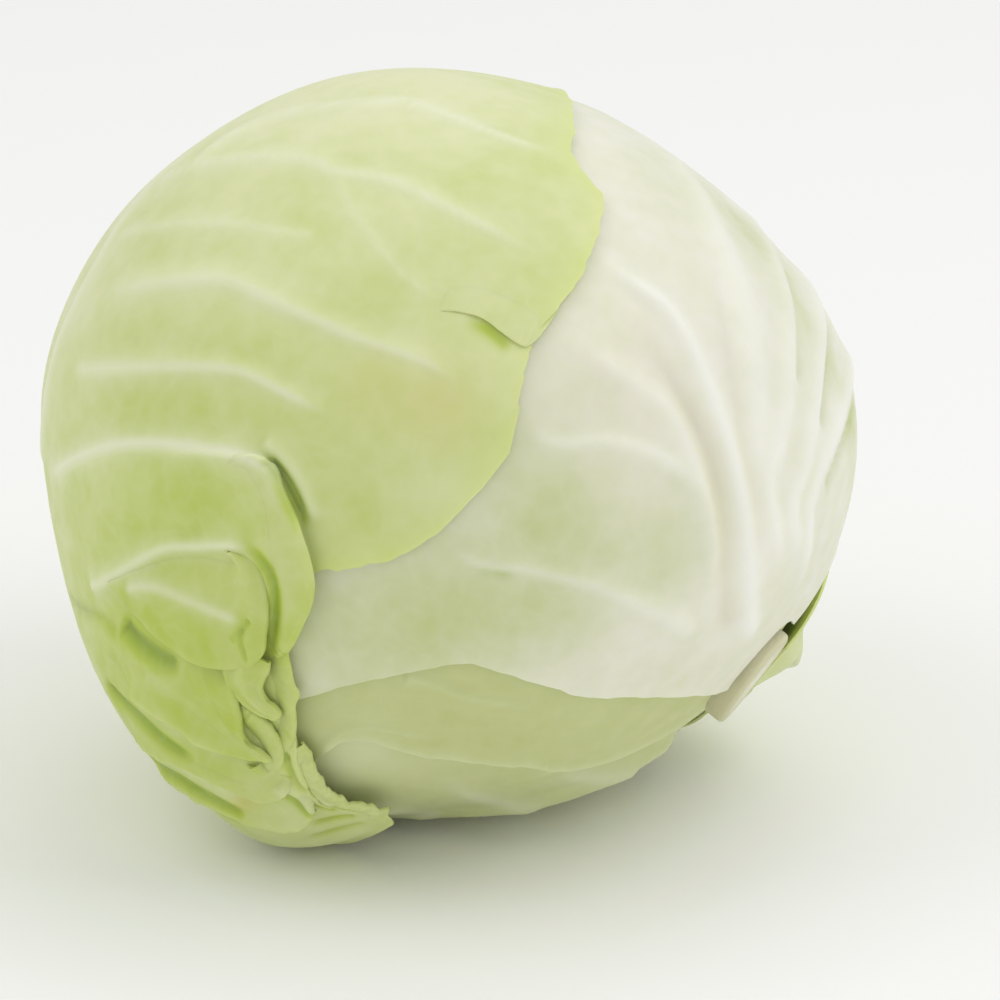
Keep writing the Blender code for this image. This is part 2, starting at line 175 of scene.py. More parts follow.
@dataclass(frozen=True)
class HeadForm:
    """The nested form of the head: an ellipsoid with swellings, flat where it rests."""

    half_width: float = 93.3
    half_height: float = 82.3
    half_depth: float = 89.3
    long_axis_clock: float = -10.0
    sheet: float = 1.0
    step: float = 1.8
    rest_cut: float = 2.4
    reach: float = 95.0
    neck: float = 10.0
    seat_narrowing: float = 9.8
    grazing: float = 0.05
    swellings: tuple[Swelling, ...] = (
        Swelling(seen(234, 74), 13.0, 25.0),
        Swelling(seen(216, 80), 3.0, 15.0),
        Swelling(seen(246, 84), 7.0, 13.0),
        Swelling(seen(105, 85), 2.0, 20.0),
        Swelling(seen(42, 85), -2.5, 16.0),
        Swelling(seen(0, 90), 1.8, 48.0),
        Swelling(seen(284, 104), 6.0, 34.0),
        Swelling(seen(272, 120), 2.5, 30.0),
        Swelling(STALK, -5.0, 22.0),
    )

    def heart(self, directions: Array) -> Array:
        """Distance from the middle to the heart.

        It is 1 / sqrt((a/A)² + (b/B)² + (c/C)²) of the direction's parts along the three
        half sizes, plus the swellings.
        """
        turn = math.radians(self.long_axis_clock)
        right, up, near = directions @ RIGHT, directions @ UPWARD, directions @ VIEWER
        along = right * math.cos(turn) + up * math.sin(turn)
        across = up * math.cos(turn) - right * math.sin(turn)
        squares = (along / self.half_width) ** 2 + (across / self.half_height) ** 2
        distance = 1.0 / np.sqrt(squares + (near / self.half_depth) ** 2)
        for swelling in self.swellings:
            distance = distance + swelling.over(directions)
        return distance

    @property
    def rest_height(self) -> float:
        """Height of the middle over the surface that the head lies on."""
        return float(self.heart(DOWN)) + self.step - self.rest_cut

    @property
    def middle(self) -> Array:
        """The point that every distance starts from."""
        return np.array([0.0, 0.0, self.rest_height])

    def skin(self, directions: Array, raised: Array) -> Array:
        """Points raised above the heart, pressed flat underneath where the head rests.

        Args:
            directions: unit vectors.
            raised: millimetres above the heart for each direction.

        Returns:
            Middle plus the direction times the smaller of the raised distance and the
            distance to the flat level under it, which is never under the surface.
        """
        distance = self.heart(directions) + raised
        level = self.rest_height + np.minimum(raised - self.step, 0.0)
        floor = level / np.maximum(directions @ DOWN, self.grazing)
        return self.middle + directions * np.minimum(distance, floor)[..., None]

    def clear_of_stalk(self, directions: Array) -> Array:
        """Directions moved out to the neck ring where they would come closer to the stump."""
        along = np.clip(directions @ STALK, -1.0, 1.0)
        side = unit(directions - along[..., None] * STALK)
        angle = np.maximum(np.arccos(along), math.radians(self.neck))[..., None]
        return np.cos(angle) * STALK + np.sin(angle) * side


HEAD = HeadForm()


def line_distance(directions: Array, line: Array) -> tuple[Array, Array]:
    """Signed distance in millimetres to an open line of directions, and the place along it.

    Each direction is measured to its nearest stretch of the line. The distance is positive
    on the left of the line, looking along it from outside the head.

    Args:
        directions: unit vectors in any array shape.
        line: the line's directions in order.

    Returns:
        The signed distances, and the places from 0 at the line's start to 1 at its end.
    """
    shape = directions.shape[:-1]
    flat = directions.reshape(-1, 3)
    start, step = line[:-1], np.diff(line, axis=0)
    offset = flat[:, None, :] - start[None]
    share = np.clip(np.sum(offset * step, axis=-1) / np.sum(step * step, axis=-1), 0.0, 1.0)
    away = offset - share[..., None] * step[None]
    nearest = np.argmin(np.sum(away * away, axis=-1), axis=1)
    rows = np.arange(len(flat))
    gap = away[rows, nearest]
    side = np.sum(np.cross(step[nearest], gap) * flat, axis=-1)
    place = (nearest + share[rows, nearest]) / len(step)
    signed = np.where(side >= 0, 1.0, -1.0) * np.linalg.norm(gap, axis=-1) * HEAD.reach
    return signed.reshape(shape), place.reshape(shape)


# Relief


@dataclass(frozen=True)
class Waves:
    """Gentle unevenness: the sum of seeded plane waves of the direction."""

    seed: int
    height: float
    shortest: float
    longest: float
    count: int = 14

    def over(self, directions: Array) -> Array:
        """Height times the sum of sin(wave · direction + phase), over the root of the count.

        Each wave is a random direction as long as 2 pi times the reach over its wavelength.
        """
        random = np.random.default_rng(self.seed)
        lengths = random.uniform(self.shortest, self.longest, self.count)
        paces = 2 * math.pi * HEAD.reach / lengths
        waves = unit(random.normal(size=(self.count, 3))) * paces[:, None]
        phases = random.uniform(0, 2 * math.pi, self.count)
        heights = np.sin(directions @ waves.T + phases).sum(axis=-1)
        return self.height * heights / math.sqrt(self.count)


@dataclass(frozen=True)
class Ridge:
    """A raised rib, or a crease where its height is below 0, along a line on a leaf.

    lean steepens its left side. pale is how much of the leaf's vein colour it takes, on a
    thin line along it, and green and blush are how much more of those the leaf gets there.
    On a crease, the green and the blush are painted shade of its hollow, partly over the
    leaf's own deeper green.
    """

    line: Sequence[Place]
    height: float
    width: float
    pale: float = 0.0
    green: float = 0.0
    blush_and_shade: float = 0.0
    thin: float = 1.4
    taper: float = 0.5
    lean: float = 0.0
    fade_in: float = 0.08
    fade_out: float = 0.15

    def over(self, directions: Array) -> Array:
        """Height, paleness, greenness and blush of the ridge, in that order.

        All but paleness fall off as exp(-x²) of x, the distance over a width that gets
        slimmer along the line. Paleness is 0.6 exp(-y²) + 0.4 exp(-(y / 3)²) of y, the
        distance over the thin width. All of them fade at the line's ends.
        """
        away, place = line_distance(directions, drawn(self.line))
        slim = 1.0 - self.taper * place
        ends = smooth(place / self.fade_in) * smooth((1 - place) / self.fade_out)
        across = away / (self.width * slim)
        bell = ends * np.exp(-(across**2))
        beside = away / (self.thin * slim)
        light = ends * (0.6 * np.exp(-(beside**2)) + 0.4 * np.exp(-((beside / 3) ** 2)))
        height = self.height * slim * bell * (1 + self.lean * across)
        return np.stack([height, self.pale * light, self.green * bell, self.blush_and_shade * bell])


@dataclass(frozen=True)
class Lip:
    """Ground that stands up under a fold, left of the fold's free edge.

    Its heights are read at equal steps along its line. It falls off over the reach inside,
    and drops just short of the edge, so that the fold's own sheet stands over a hollow.
    """

    line: Sequence[Place]
    heights: Sequence[float]
    reach: float
    recess: float = 2.6
    drop: float = 2.4
    end: float = 0.08
    blur: float = 0.6
    steps: int = 60

    def over(self, directions: Array, whole: bool = False) -> Array:
        """The line's height there times exp(-(inside distance / reach)²).

        The height is the mean of the heights along the line, each weighed by one over the
        fourth power of its distance plus the blur. The heights fade at the line's ends. The
        lip is cut off softly near the edge, unless read whole.
        """
        line = drawn(self.line, self.steps)
        away, _ = line_distance(directions, line)
        share = np.linspace(0.0, 1.0, len(line))
        heights = read_stops(self.heights, share)
        heights = heights * smooth(share / self.end) * smooth((1 - share) / self.end)
        distance = np.arccos(np.clip(directions @ line.T, -1.0, 1.0)) * HEAD.reach
        near = (distance + self.blur) ** -4
        along = (near @ heights) / near.sum(axis=-1)
        slope = np.exp(-((np.maximum(away, 0) / self.reach) ** 2))
        cut = 1.0 if whole else smooth((away - self.recess) / self.drop + 1)
        return along * slope * cut


@dataclass(frozen=True)
class Patch:
    """A soft patch of colour on a leaf."""

    middle: Place
    spread: float
    amount: float

    def over(self, directions: Array) -> Array:
        """Its amount times exp(-(angle to its middle / spread)²)."""
        return Swelling(seen(*self.middle), self.amount, self.spread).over(directions)


@dataclass
class Surface:
    """What a leaf's outer face is made of: ridges, ground under folds and colour patches."""

    ridges: Sequence[Ridge] = ()
    lips: Sequence[Lip] = ()
    greens: Sequence[Patch] = ()
    blushes: Sequence[Patch] = ()
    green: float = 0.5

    def lines(self, directions: Array) -> Array:
        """Height, paleness, greenness and blush of the ridges. Paleness is the highest one's."""
        made = np.zeros((4, *directions.shape[:-1]))
        for ridge in self.ridges:
            one = ridge.over(directions)
            pale = np.maximum(made[1], one[1])
            made += one
            made[1] = pale
        return made

    def lifted(self, directions: Array, own: Lip | None = None) -> Array:
        """Height of the highest lip there. A fold's own lip is read whole."""
        heights = [lip.over(directions, lip is own) for lip in self.lips]
        return np.maximum.reduce([np.zeros(directions.shape[:-1]), *heights])

    def colours(self, directions: Array, lines: Array) -> dict[str, Array]:
        """Colour numbers of the face: levels and patches, with the lines' own added."""
        green = self.green + lines[2] + sum(patch.over(directions) for patch in self.greens)
        blush_and_shade = lines[3] + sum(patch.over(directions) for patch in self.blushes)
        return {"green": green, "pale": lines[1], "blush_and_shade": blush_and_shade}


# Materials


def linear(colour: str) -> tuple[float, float, float, float]:
    """An sRGB hex colour as linear red, green, blue and 1.

    A part c up to 0.04045 becomes c / 12.92, and a larger one ((c + 0.055) / 1.055)^2.4.
    """
    parts = [int(colour[k : k + 2], 16) / 255 for k in (1, 3, 5)]
    return (*(c / 12.92 if c <= 0.04045 else ((c + 0.055) / 1.055) ** 2.4 for c in parts), 1.0)


def add_node(
    tree: Tree, kind: str, settings: dict | None = None, links: dict | None = None
) -> bpy.types.Node:
    """Adds one node to a material.

    Args:
        tree: the material's node tree.
        kind: the node's type name.
        settings: values by input name or number, or by the node's own property name.
        links: source sockets by input name or number.

    Returns:
        The new node.
    """
    node = tree.nodes.new(kind)
    for key, value in (settings or {}).items():
        if isinstance(key, str) and hasattr(node, key):
            setattr(node, key, value)
        else:
            node.inputs[key].default_value = value
    for key, source in (links or {}).items():
        tree.links.new(source, node.inputs[key])
    return node


def scale_of(size: float) -> float:
    """Texture scale that gives a pattern of this size in millimetres."""
    return 1.0 / (size * METRE)


def new_material(name: str, settings: dict) -> tuple[bpy.types.Material, bpy.types.Node]:
    """A new material and its shader, whose own sockets are set to the settings."""
    material = bpy.data.materials.new(name)
    material.use_nodes = True
    shader = material.node_tree.nodes["Principled BSDF"]
    for key, value in settings.items():
        shader.inputs[key].default_value = value
    return material, shader


@dataclass(frozen=True)
class LeafFinish:
    """Fresh cabbage leaf: pale tissue under a thin bloom of wax.

    The wax gives a wide soft highlight and no mirror, the tissue lets some light through,
    the veins are paler than the tissue between them, and the green comes in soft patches.
    Sizes, depth and height are millimetres.
    """

    name: str
    flesh: str
    green: str
    vein: str
    # deep is the dark green of the leaf's deepest patches, and of the folds' creases, where it is painted
    # shade. margin is the thin edge's yellower tissue with a painted glow of light through it. blush is a
    # warm tint; in the pale leaf's rib valleys it is painted shade.
    deep: str = "#93AC3A"
    margin: str = "#DBE692"
    blush_and_shade: str = "#D3C586"
    patches: float = 0.22
    mottle: float = 0.08
    deep_patches: float = 0.1
    roughness: float = 0.46
    wax_range: float = 0.12
    specular: float = 0.42
    subsurface: float = 0.18
    radius: tuple[float, float, float] = (0.8, 1.0, 0.35)
    depth: float = 3.0
    patch_size: float = 24.0
    mottle_size: float = 6.0
    cell_size: float = 8.0
    border: float = 0.16
    grain_size: float = 1.1
    grain_rise: float = 0.25
    bump_height: float = 0.3

    def make(self) -> bpy.types.Material:
        """Builds the material from the leaf's own green, pale, margin and blush numbers."""
        settings = {
            "Subsurface Weight": self.subsurface,
            "Subsurface Radius": self.radius,
            "Subsurface Scale": self.depth * METRE,
            "Specular IOR Level": self.specular,
        }
        material, shader = new_material(self.name, settings)
        tree = material.node_tree
        place = add_node(tree, "ShaderNodeTexCoord").outputs["Object"]
        patches, mottle = self.clouds(tree, place)
        wax = {"operation": "MULTIPLY_ADD", 1: self.wax_range, 2: self.roughness}
        rough = add_node(tree, "ShaderNodeMath", wax, {0: mottle}).outputs[0]
        colour = self.colour(tree, patches, mottle, self.net(tree, place))
        tree.links.new(colour, shader.inputs["Base Color"])
        tree.links.new(rough, shader.inputs["Roughness"])
        tree.links.new(self.bump(tree, place), shader.inputs["Normal"])
        return material

    def clouds(self, tree: Tree, place: Socket) -> list[Socket]:
        """Large patches and a finer mottle, each a noise from about -0.5 to 0.5."""
        made = []
        for size, detail in ((self.patch_size, 3.0), (self.mottle_size, 2.0)):
            cloud = {"Scale": scale_of(size), "Detail": detail}
            noise = add_node(tree, "ShaderNodeTexNoise", cloud, {"Vector": place})
            centre = {"From Min": 0.3, "From Max": 0.7, "To Min": -0.5, "To Max": 0.5}
            centred = add_node(tree, "ShaderNodeMapRange", centre, {"Value": noise.outputs["Fac"]})
            made.append(centred.outputs["Result"])
        return made

    def colour(self, tree: Tree, patches: Socket, mottle: Socket, net: Socket) -> Socket:
        """Colour of the leaf: tissue and green, then each layer over it by its own share.

        The layers are the deep green where the green number goes above 1, which in the creases
        of the folds is painted shade, the fine net of veins, the ribs, the margin, whose yellower
        edge is partly painted glow of light through the thin tissue, and the blush, which in the
        pale leaf's valleys is painted shade.
        """
        numbers = {
            name: add_node(tree, "ShaderNodeAttribute", {"attribute_name": name}).outputs["Fac"]
            for name in ("green", "pale", "margin", "blush_and_shade")
        }
        above = {"operation": "SUBTRACT", 1: 1.0}
        shares = {
            "green": numbers["green"],
            "deep": add_node(tree, "ShaderNodeMath", above, {0: numbers["green"]}).outputs[0],
        }
        for name, cloud, gain in (
            ("green", patches, self.patches),
            ("green", mottle, self.mottle),
            ("deep", patches, self.deep_patches),
        ):
            held = {"operation": "MULTIPLY_ADD", "use_clamp": True, 1: gain}
            added = add_node(tree, "ShaderNodeMath", held, {0: cloud, 2: shares[name]})
            shares[name] = added.outputs[0]
        tissue = {"data_type": "RGBA", 6: linear(self.flesh), 7: linear(self.green)}
        mixed = add_node(tree, "ShaderNodeMix", tissue, {0: shares["green"]})
        for source, gain, colour in (
            (shares["deep"], 1.0, self.deep),
            (net, 0.05, self.vein),
            (numbers["pale"], 0.85, self.vein),
            (numbers["margin"], 0.7, self.margin),
            (numbers["blush_and_shade"], 0.6, self.blush_and_shade),
        ):
            held = {"operation": "MULTIPLY", "use_clamp": True, 1: gain}
            share = add_node(tree, "ShaderNodeMath", held, {0: source}).outputs[0]
            layer = {"data_type": "RGBA", 7: linear(colour)}
            mixed = add_node(tree, "ShaderNodeMix", layer, {0: share, 6: mixed.outputs[2]})
        return mixed.outputs[2]

    def net(self, tree: Tree, place: Socket) -> Socket:
        """The fine net of small veins: 1 on the borders of uneven cells, and 0 inside them."""
        cloud = {"Scale": scale_of(self.cell_size * 1.6), "Detail": 2.0}
        warp = add_node(tree, "ShaderNodeTexNoise", cloud, {"Vector": place}).outputs["Color"]
        push = {"operation": "MULTIPLY_ADD", 1: (self.cell_size * METRE * 1.5,) * 3}
        shifted = add_node(tree, "ShaderNodeVectorMath", push, {0: warp, 2: place}).outputs[0]
        grid = {"feature": "DISTANCE_TO_EDGE", "Scale": scale_of(self.cell_size)}
        cells = add_node(tree, "ShaderNodeTexVoronoi", grid, {"Vector": shifted})
        fall = {"From Min": 0.0, "From Max": self.border, "To Min": 1.0, "To Max": 0.0}
        borders = add_node(tree, "ShaderNodeMapRange", fall, {"Value": cells.outputs["Distance"]})
        return borders.outputs["Result"]

    def bump(self, tree: Tree, place: Socket) -> Socket:
        """Faint grain."""
        fine = {"Scale": scale_of(self.grain_size), "Detail": 2.0}
        grain = add_node(tree, "ShaderNodeTexNoise", fine, {"Vector": place}).outputs["Fac"]
        low = {"operation": "MULTIPLY", "use_clamp": True, 1: self.grain_rise}
        height = add_node(tree, "ShaderNodeMath", low, {0: grain}).outputs[0]
        faint = {"Strength": 0.2, "Distance": self.bump_height * METRE}
        return add_node(tree, "ShaderNodeBump", faint, {"Height": height}).outputs["Normal"]


@dataclass(frozen=True)
class StumpFinish:
    """Cut cabbage stalk: pale moist pith in a ring of tougher fibres, drying at its rim.

    Sizes, depth and height are millimetres.
    """

    name: str
    pith: str = "#EFEDDA"
    fibre: str = "#E0DDBE"
    rim: str = "#D6D3AE"
    roughness: float = 0.55
    subsurface: float = 0.15
    radius: tuple[float, float, float] = (0.9, 1.0, 0.6)
    depth: float = 3.0
    fleck_size: float = 2.2
    flecks: float = 0.3
    grain_size: float = 0.9
    bump_height: float = 0.4

    def make(self) -> bpy.types.Material:
        """Builds the material from the stump's own ring number, 0 in its middle and 1 outside."""
        settings = {
            "Roughness": self.roughness,
            "Subsurface Weight": self.subsurface,
            "Subsurface Radius": self.radius,
            "Subsurface Scale": self.depth * METRE,
        }
        material, shader = new_material(self.name, settings)
        tree = material.node_tree
        place = add_node(tree, "ShaderNodeTexCoord").outputs["Object"]
        ring = add_node(tree, "ShaderNodeAttribute", {"attribute_name": "ring"}).outputs["Fac"]
        cloud = {"Scale": scale_of(self.fleck_size), "Detail": 4.0}
        flecks = add_node(tree, "ShaderNodeTexNoise", cloud, {"Vector": place}).outputs["Fac"]
        uneven = {"operation": "MULTIPLY_ADD", 1: self.flecks}
        stage = add_node(tree, "ShaderNodeMath", uneven, {0: flecks, 2: ring}).outputs[0]
        ramp = add_node(tree, "ShaderNodeValToRGB", {}, {"Fac": stage})
        stops = ramp.color_ramp.elements
        stops[0].position, stops[0].color = 0.25, linear(self.pith)
        stops[1].position, stops[1].color = 1.0, linear(self.rim)
        stops.new(0.86).color = linear(self.fibre)
        tree.links.new(ramp.outputs["Color"], shader.inputs["Base Color"])
        fine = {"Scale": scale_of(self.grain_size), "Detail": 3.0}
        grain = add_node(tree, "ShaderNodeTexNoise", fine, {"Vector": place}).outputs["Fac"]
        rough = {"Strength": 0.5, "Distance": self.bump_height * METRE}
        bump = add_node(tree, "ShaderNodeBump", rough, {"Height": grain})
        tree.links.new(bump.outputs["Normal"], shader.inputs["Normal"])
        return material


class Dress(Enum):
    """The finishes of the head's pieces."""

    OUTER = LeafFinish(
        "Waxy outer leaf", "#E4E8B8", "#B7C951", "#EDF0D2", blush_and_shade="#CFC064", patches=0.32
    )
    PALE = LeafFinish(
        "Waxy pale leaf", "#F1F0DD", "#BFCB7C", "#FAFAF2", deep="#B3C26A", blush_and_shade="#DCD3AC",
        roughness=0.42,
    )
    LOW = LeafFinish("Waxy lower leaf", "#DBE0B0", "#BBC373", "#E1E5C2", margin="#E4E8C4")
    HEART = LeafFinish("Inner leaf", "#E6E8CE", "#C3CD88", "#EAECD6")
    STUMP = StumpFinish("Cut stalk")


MADE: dict[Dress, bpy.types.Material] = {}


def dressed(dress: Dress) -> bpy.types.Material:
    """The material of a finish, made once."""
    if dress not in MADE:
        MADE[dress] = dress.value.make()
    return MADE[dress]


# Meshes

FLAT_SHARE = 0.02
SHARP_ANGLE = math.radians(70)


def closed_sheet(outer: Array, inner: Array, spine: bool = False) -> tuple[Array, Array]:
    """Points and triangles of the closed solid between two grids, split alike on both.

    With a spine, the first column runs out and back on the same points, which are joined,
    so that the solid has no wall there.
    """
    rows, columns = outer.shape[:2]
    index = np.arange(rows * columns).reshape(rows, columns)
    if spine:
        index[:, 0] = np.minimum(index[:, 0], index[::-1, 0])
    a, b = index[:-1, :-1].ravel(), index[:-1, 1:].ravel()
    c, d = index[1:, 1:].ravel(), index[1:, :-1].ravel()
    top = np.vstack([np.stack([a, b, c], 1), np.stack([a, c, d], 1)])
    below = rows * columns
    under = top[:, ::-1] + below
    back = index[:0, 0] if spine else index[:0:-1, 0]
    rim = np.concatenate([index[0, :-1], index[:-1, -1], index[-1, :0:-1], back])
    following = np.roll(rim, -1)
    walls = np.vstack([
        np.stack([following, rim, rim + below], 1),
        np.stack([following, rim + below, following + below], 1),
    ])
    points = np.vstack([outer.reshape(-1, 3), inner.reshape(-1, 3)])
    return points, np.vstack([top, under, walls])


def grid_normals(grid: Array, spine: bool = False) -> Array:
    """Unit normals of a grid of points, turned away from the middle of the head.

    Each is the cross product of the grid's two slopes there. Where the slopes vanish, and
    on a spine, the normal is the direction from the middle.
    """
    cross = np.cross(np.gradient(grid, axis=0), np.gradient(grid, axis=1))
    outward = unit(grid - HEAD.middle)
    size = np.linalg.norm(cross, axis=-1, keepdims=True)
    weak = size < float(np.median(size)) * FLAT_SHARE
    if spine:
        weak[:, 0] = True
    normals = np.where(weak, outward, cross / np.maximum(size, 1e-12))
    turned = np.sign(np.median(np.sum(normals * outward, axis=-1)))
    return np.where(weak, outward, normals * turned)


def both_faces(tints: dict[str, Array]) -> dict[str, Array]:
    """The numbers of a sheet's outer points, and the same again for its inner ones."""
    return {name: np.tile(values.ravel(), 2) for name, values in tints.items()}


def add_piece(
    name: str, points: Array, triangles: Array, tints: dict[str, Array], dress: Dress
) -> bpy.types.Object:
    """Adds a smooth-shaded and dressed piece, with its faces pointing out.

    Args:
        name: the piece's name.
        points: vertices in millimetres.
        triangles: vertex numbers of each triangle.
        tints: number for each vertex, under the names that materials read.
        dress: the piece's finish.

    Returns:
        The new object, at the origin.
    """
    used, flat = np.unique(triangles, return_inverse=True)
    points, triangles = points[used], flat.reshape(triangles.shape)
    corners = points[triangles]
    volume = np.sum(np.cross(corners[:, 0], corners[:, 1]) * corners[:, 2])
    if volume < 0:
        triangles = triangles[:, ::-1]
    mesh = bpy.data.meshes.new(name)
    mesh.vertices.add(len(points))
    mesh.vertices.foreach_set("co", (points * METRE).ravel())
    mesh.loops.add(triangles.size)
    mesh.loops.foreach_set("vertex_index", triangles.ravel().astype(np.int32))
    mesh.polygons.add(len(triangles))
    mesh.polygons.foreach_set("loop_start", np.arange(0, triangles.size, 3, dtype=np.int32))
    mesh.update(calc_edges=True)
    mesh.validate()
    for tint, values in tints.items():
        layer = mesh.attributes.new(tint, "FLOAT", "POINT")
        layer.data.foreach_set("value", values.ravel()[used].astype(np.float32))
    mesh.shade_smooth()
    mesh.set_sharp_from_angle(angle=SHARP_ANGLE)
    mesh.materials.append(dressed(dress))
    placed = bpy.data.objects.new(name, mesh)
    bpy.context.scene.collection.objects.link(placed)
    LOG.info("%s: %d triangles", name, len(triangles))
    return placed


# Leaves


Station = tuple[Array, Array, Array]
UNEVEN = Waves(seed=11, height=0.45, shortest=34.0, longest=80.0)
MARGIN_PACES = (0.37, 0.83, 1.7, 3.1)
MARGIN_RATE = 9.0
SHORTEST_ARC = 10.0
RIPPLE_PACES = (5, 9, 14)
LEFT_LEVEL = 4


def spread(stops: Sequence[float], counts: Sequence[int]) -> Array:
    """Places from the first stop to the last, with a count of equal steps in each stretch."""
    places = [stops[0]]
    for low, high, count in zip(stops[:-1], stops[1:], counts):
        places.extend(np.linspace(low, high, count + 1)[1:])
    return np.array(places)


@dataclass
class Leaf:
    """One wrapped leaf: a closed sheet at its level over the heart.

    Its stations run from the stalk to the tip, each with one side of the leaf, its middle
    and its other side. Rows go along the stations and columns from -1 at the first side
    to 1 at the other.
    """

    name: str
    node: str
    slot: str
    dress: Dress
    level: int
    stations: Sequence[Station]
    rows: Array
    columns: Array
    surface: Surface
    cover: Callable[[Array], Array] | None = None
    margin_lift: float = 0.5
    margin_width: float = 5.0
    edge_sheet: float = 0.6
    edge_width: float = 6.0
    ragged: float = 0.5
    glow: float = 0.12
    glow_width: float = 1.5
    seed: int = 1

    def directions(self) -> tuple[Array, Array]:
        """Directions over the leaf, and each one's distance to the nearest free margin.

        Each side of the middle line is an arc to that side's margin. The margin wanders by
        a few seeded sines along the leaf.
        """
        first, middle, other = (
            smooth_curve(np.array([row[k] for row in self.stations]), self.rows)[:, None, :]
            for k in range(3)
        )
        random = np.random.default_rng(self.seed)
        share = np.abs(self.columns)[None, :, None]
        left = self.columns[None, :, None] < 0
        towards = np.where(left, first, other)
        base = np.broadcast_to(middle, towards.shape)
        arc = np.arccos(np.clip(np.sum(base * towards, axis=-1), -1, 1)) * HEAD.reach
        places = self.rows[:, None] * MARGIN_RATE
        wander = np.zeros((len(self.rows), 2))
        for pace in MARGIN_PACES:
            phases = random.uniform(0, 2 * math.pi, (1, 2))
            wander = wander + np.sin(places * pace + phases) / (1 + pace)
        wander = np.where(left[..., 0], wander[:, :1], wander[:, 1:])
        stretch = 1.0 + (self.ragged * wander / np.maximum(arc, SHORTEST_ARC)) * share[..., 0]
        directions = between(base, towards, share * stretch[..., None])
        to_side = (1.0 - share[..., 0]) * arc
        spacing = np.arccos(np.clip(np.sum(middle[1:] * middle[:-1], axis=-1), -1, 1)) * HEAD.reach
        along = np.concatenate([[0.0], np.cumsum(spacing[:, 0])])
        to_tip = (along[-1] - along)[:, None]
        return HEAD.clear_of_stalk(directions), np.minimum(to_side, to_tip)

    def build(self) -> bpy.types.Object:
        """Makes the leaf's mesh, with its colour numbers, and dresses it."""
        directions, to_margin = self.directions()
        lines = self.surface.lines(directions)
        relief = lines[0] + self.surface.lifted(directions)
        if self.cover is not None:
            relief = relief * self.cover(directions)
        edge = np.exp(-to_margin / self.margin_width)
        base = self.level * HEAD.step + UNEVEN.over(directions) + self.margin_lift * edge**2
        thin = self.edge_sheet + (HEAD.sheet - self.edge_sheet) * smooth(to_margin / self.edge_width)
        outer = HEAD.skin(directions, base + relief)
        inner = HEAD.skin(directions, base - thin)
        points, triangles = closed_sheet(outer, inner)
        tints = self.surface.colours(directions, lines)
        tints["margin"] = self.glow * np.exp(-to_margin / self.glow_width)
        piece = add_piece(self.name, points, triangles, both_faces(tints), self.dress)
        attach(piece, "root")
        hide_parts(self.node)
        return piece


@dataclass(frozen=True)
class Roll:
    """How a fold ends: its sheet turns under on a circle of this radius and angle."""

    radius: float = 1.0
    angle: float = 110.0
    steps: int = 8

    def added(self, sheet: Array) -> Array:
        """The sheet with the roll's columns after its last one.

        From the edge, the roll goes on by r sin(a) and down by r (1 - cos(a)).
        """
        last = sheet[:, -1]
        onward = unit(last - sheet[:, -4])
        away = unit(last - HEAD.middle)
        away = unit(away - np.sum(away * onward, axis=-1, keepdims=True) * onward)
        turns = np.radians(np.linspace(0, self.angle, self.steps + 1)[1:])[None, :, None]
        turned = np.sin(turns) * onward[:, None] - (1 - np.cos(turns)) * away[:, None]
        return np.concatenate([sheet, last[:, None] + self.radius * turned], axis=1)


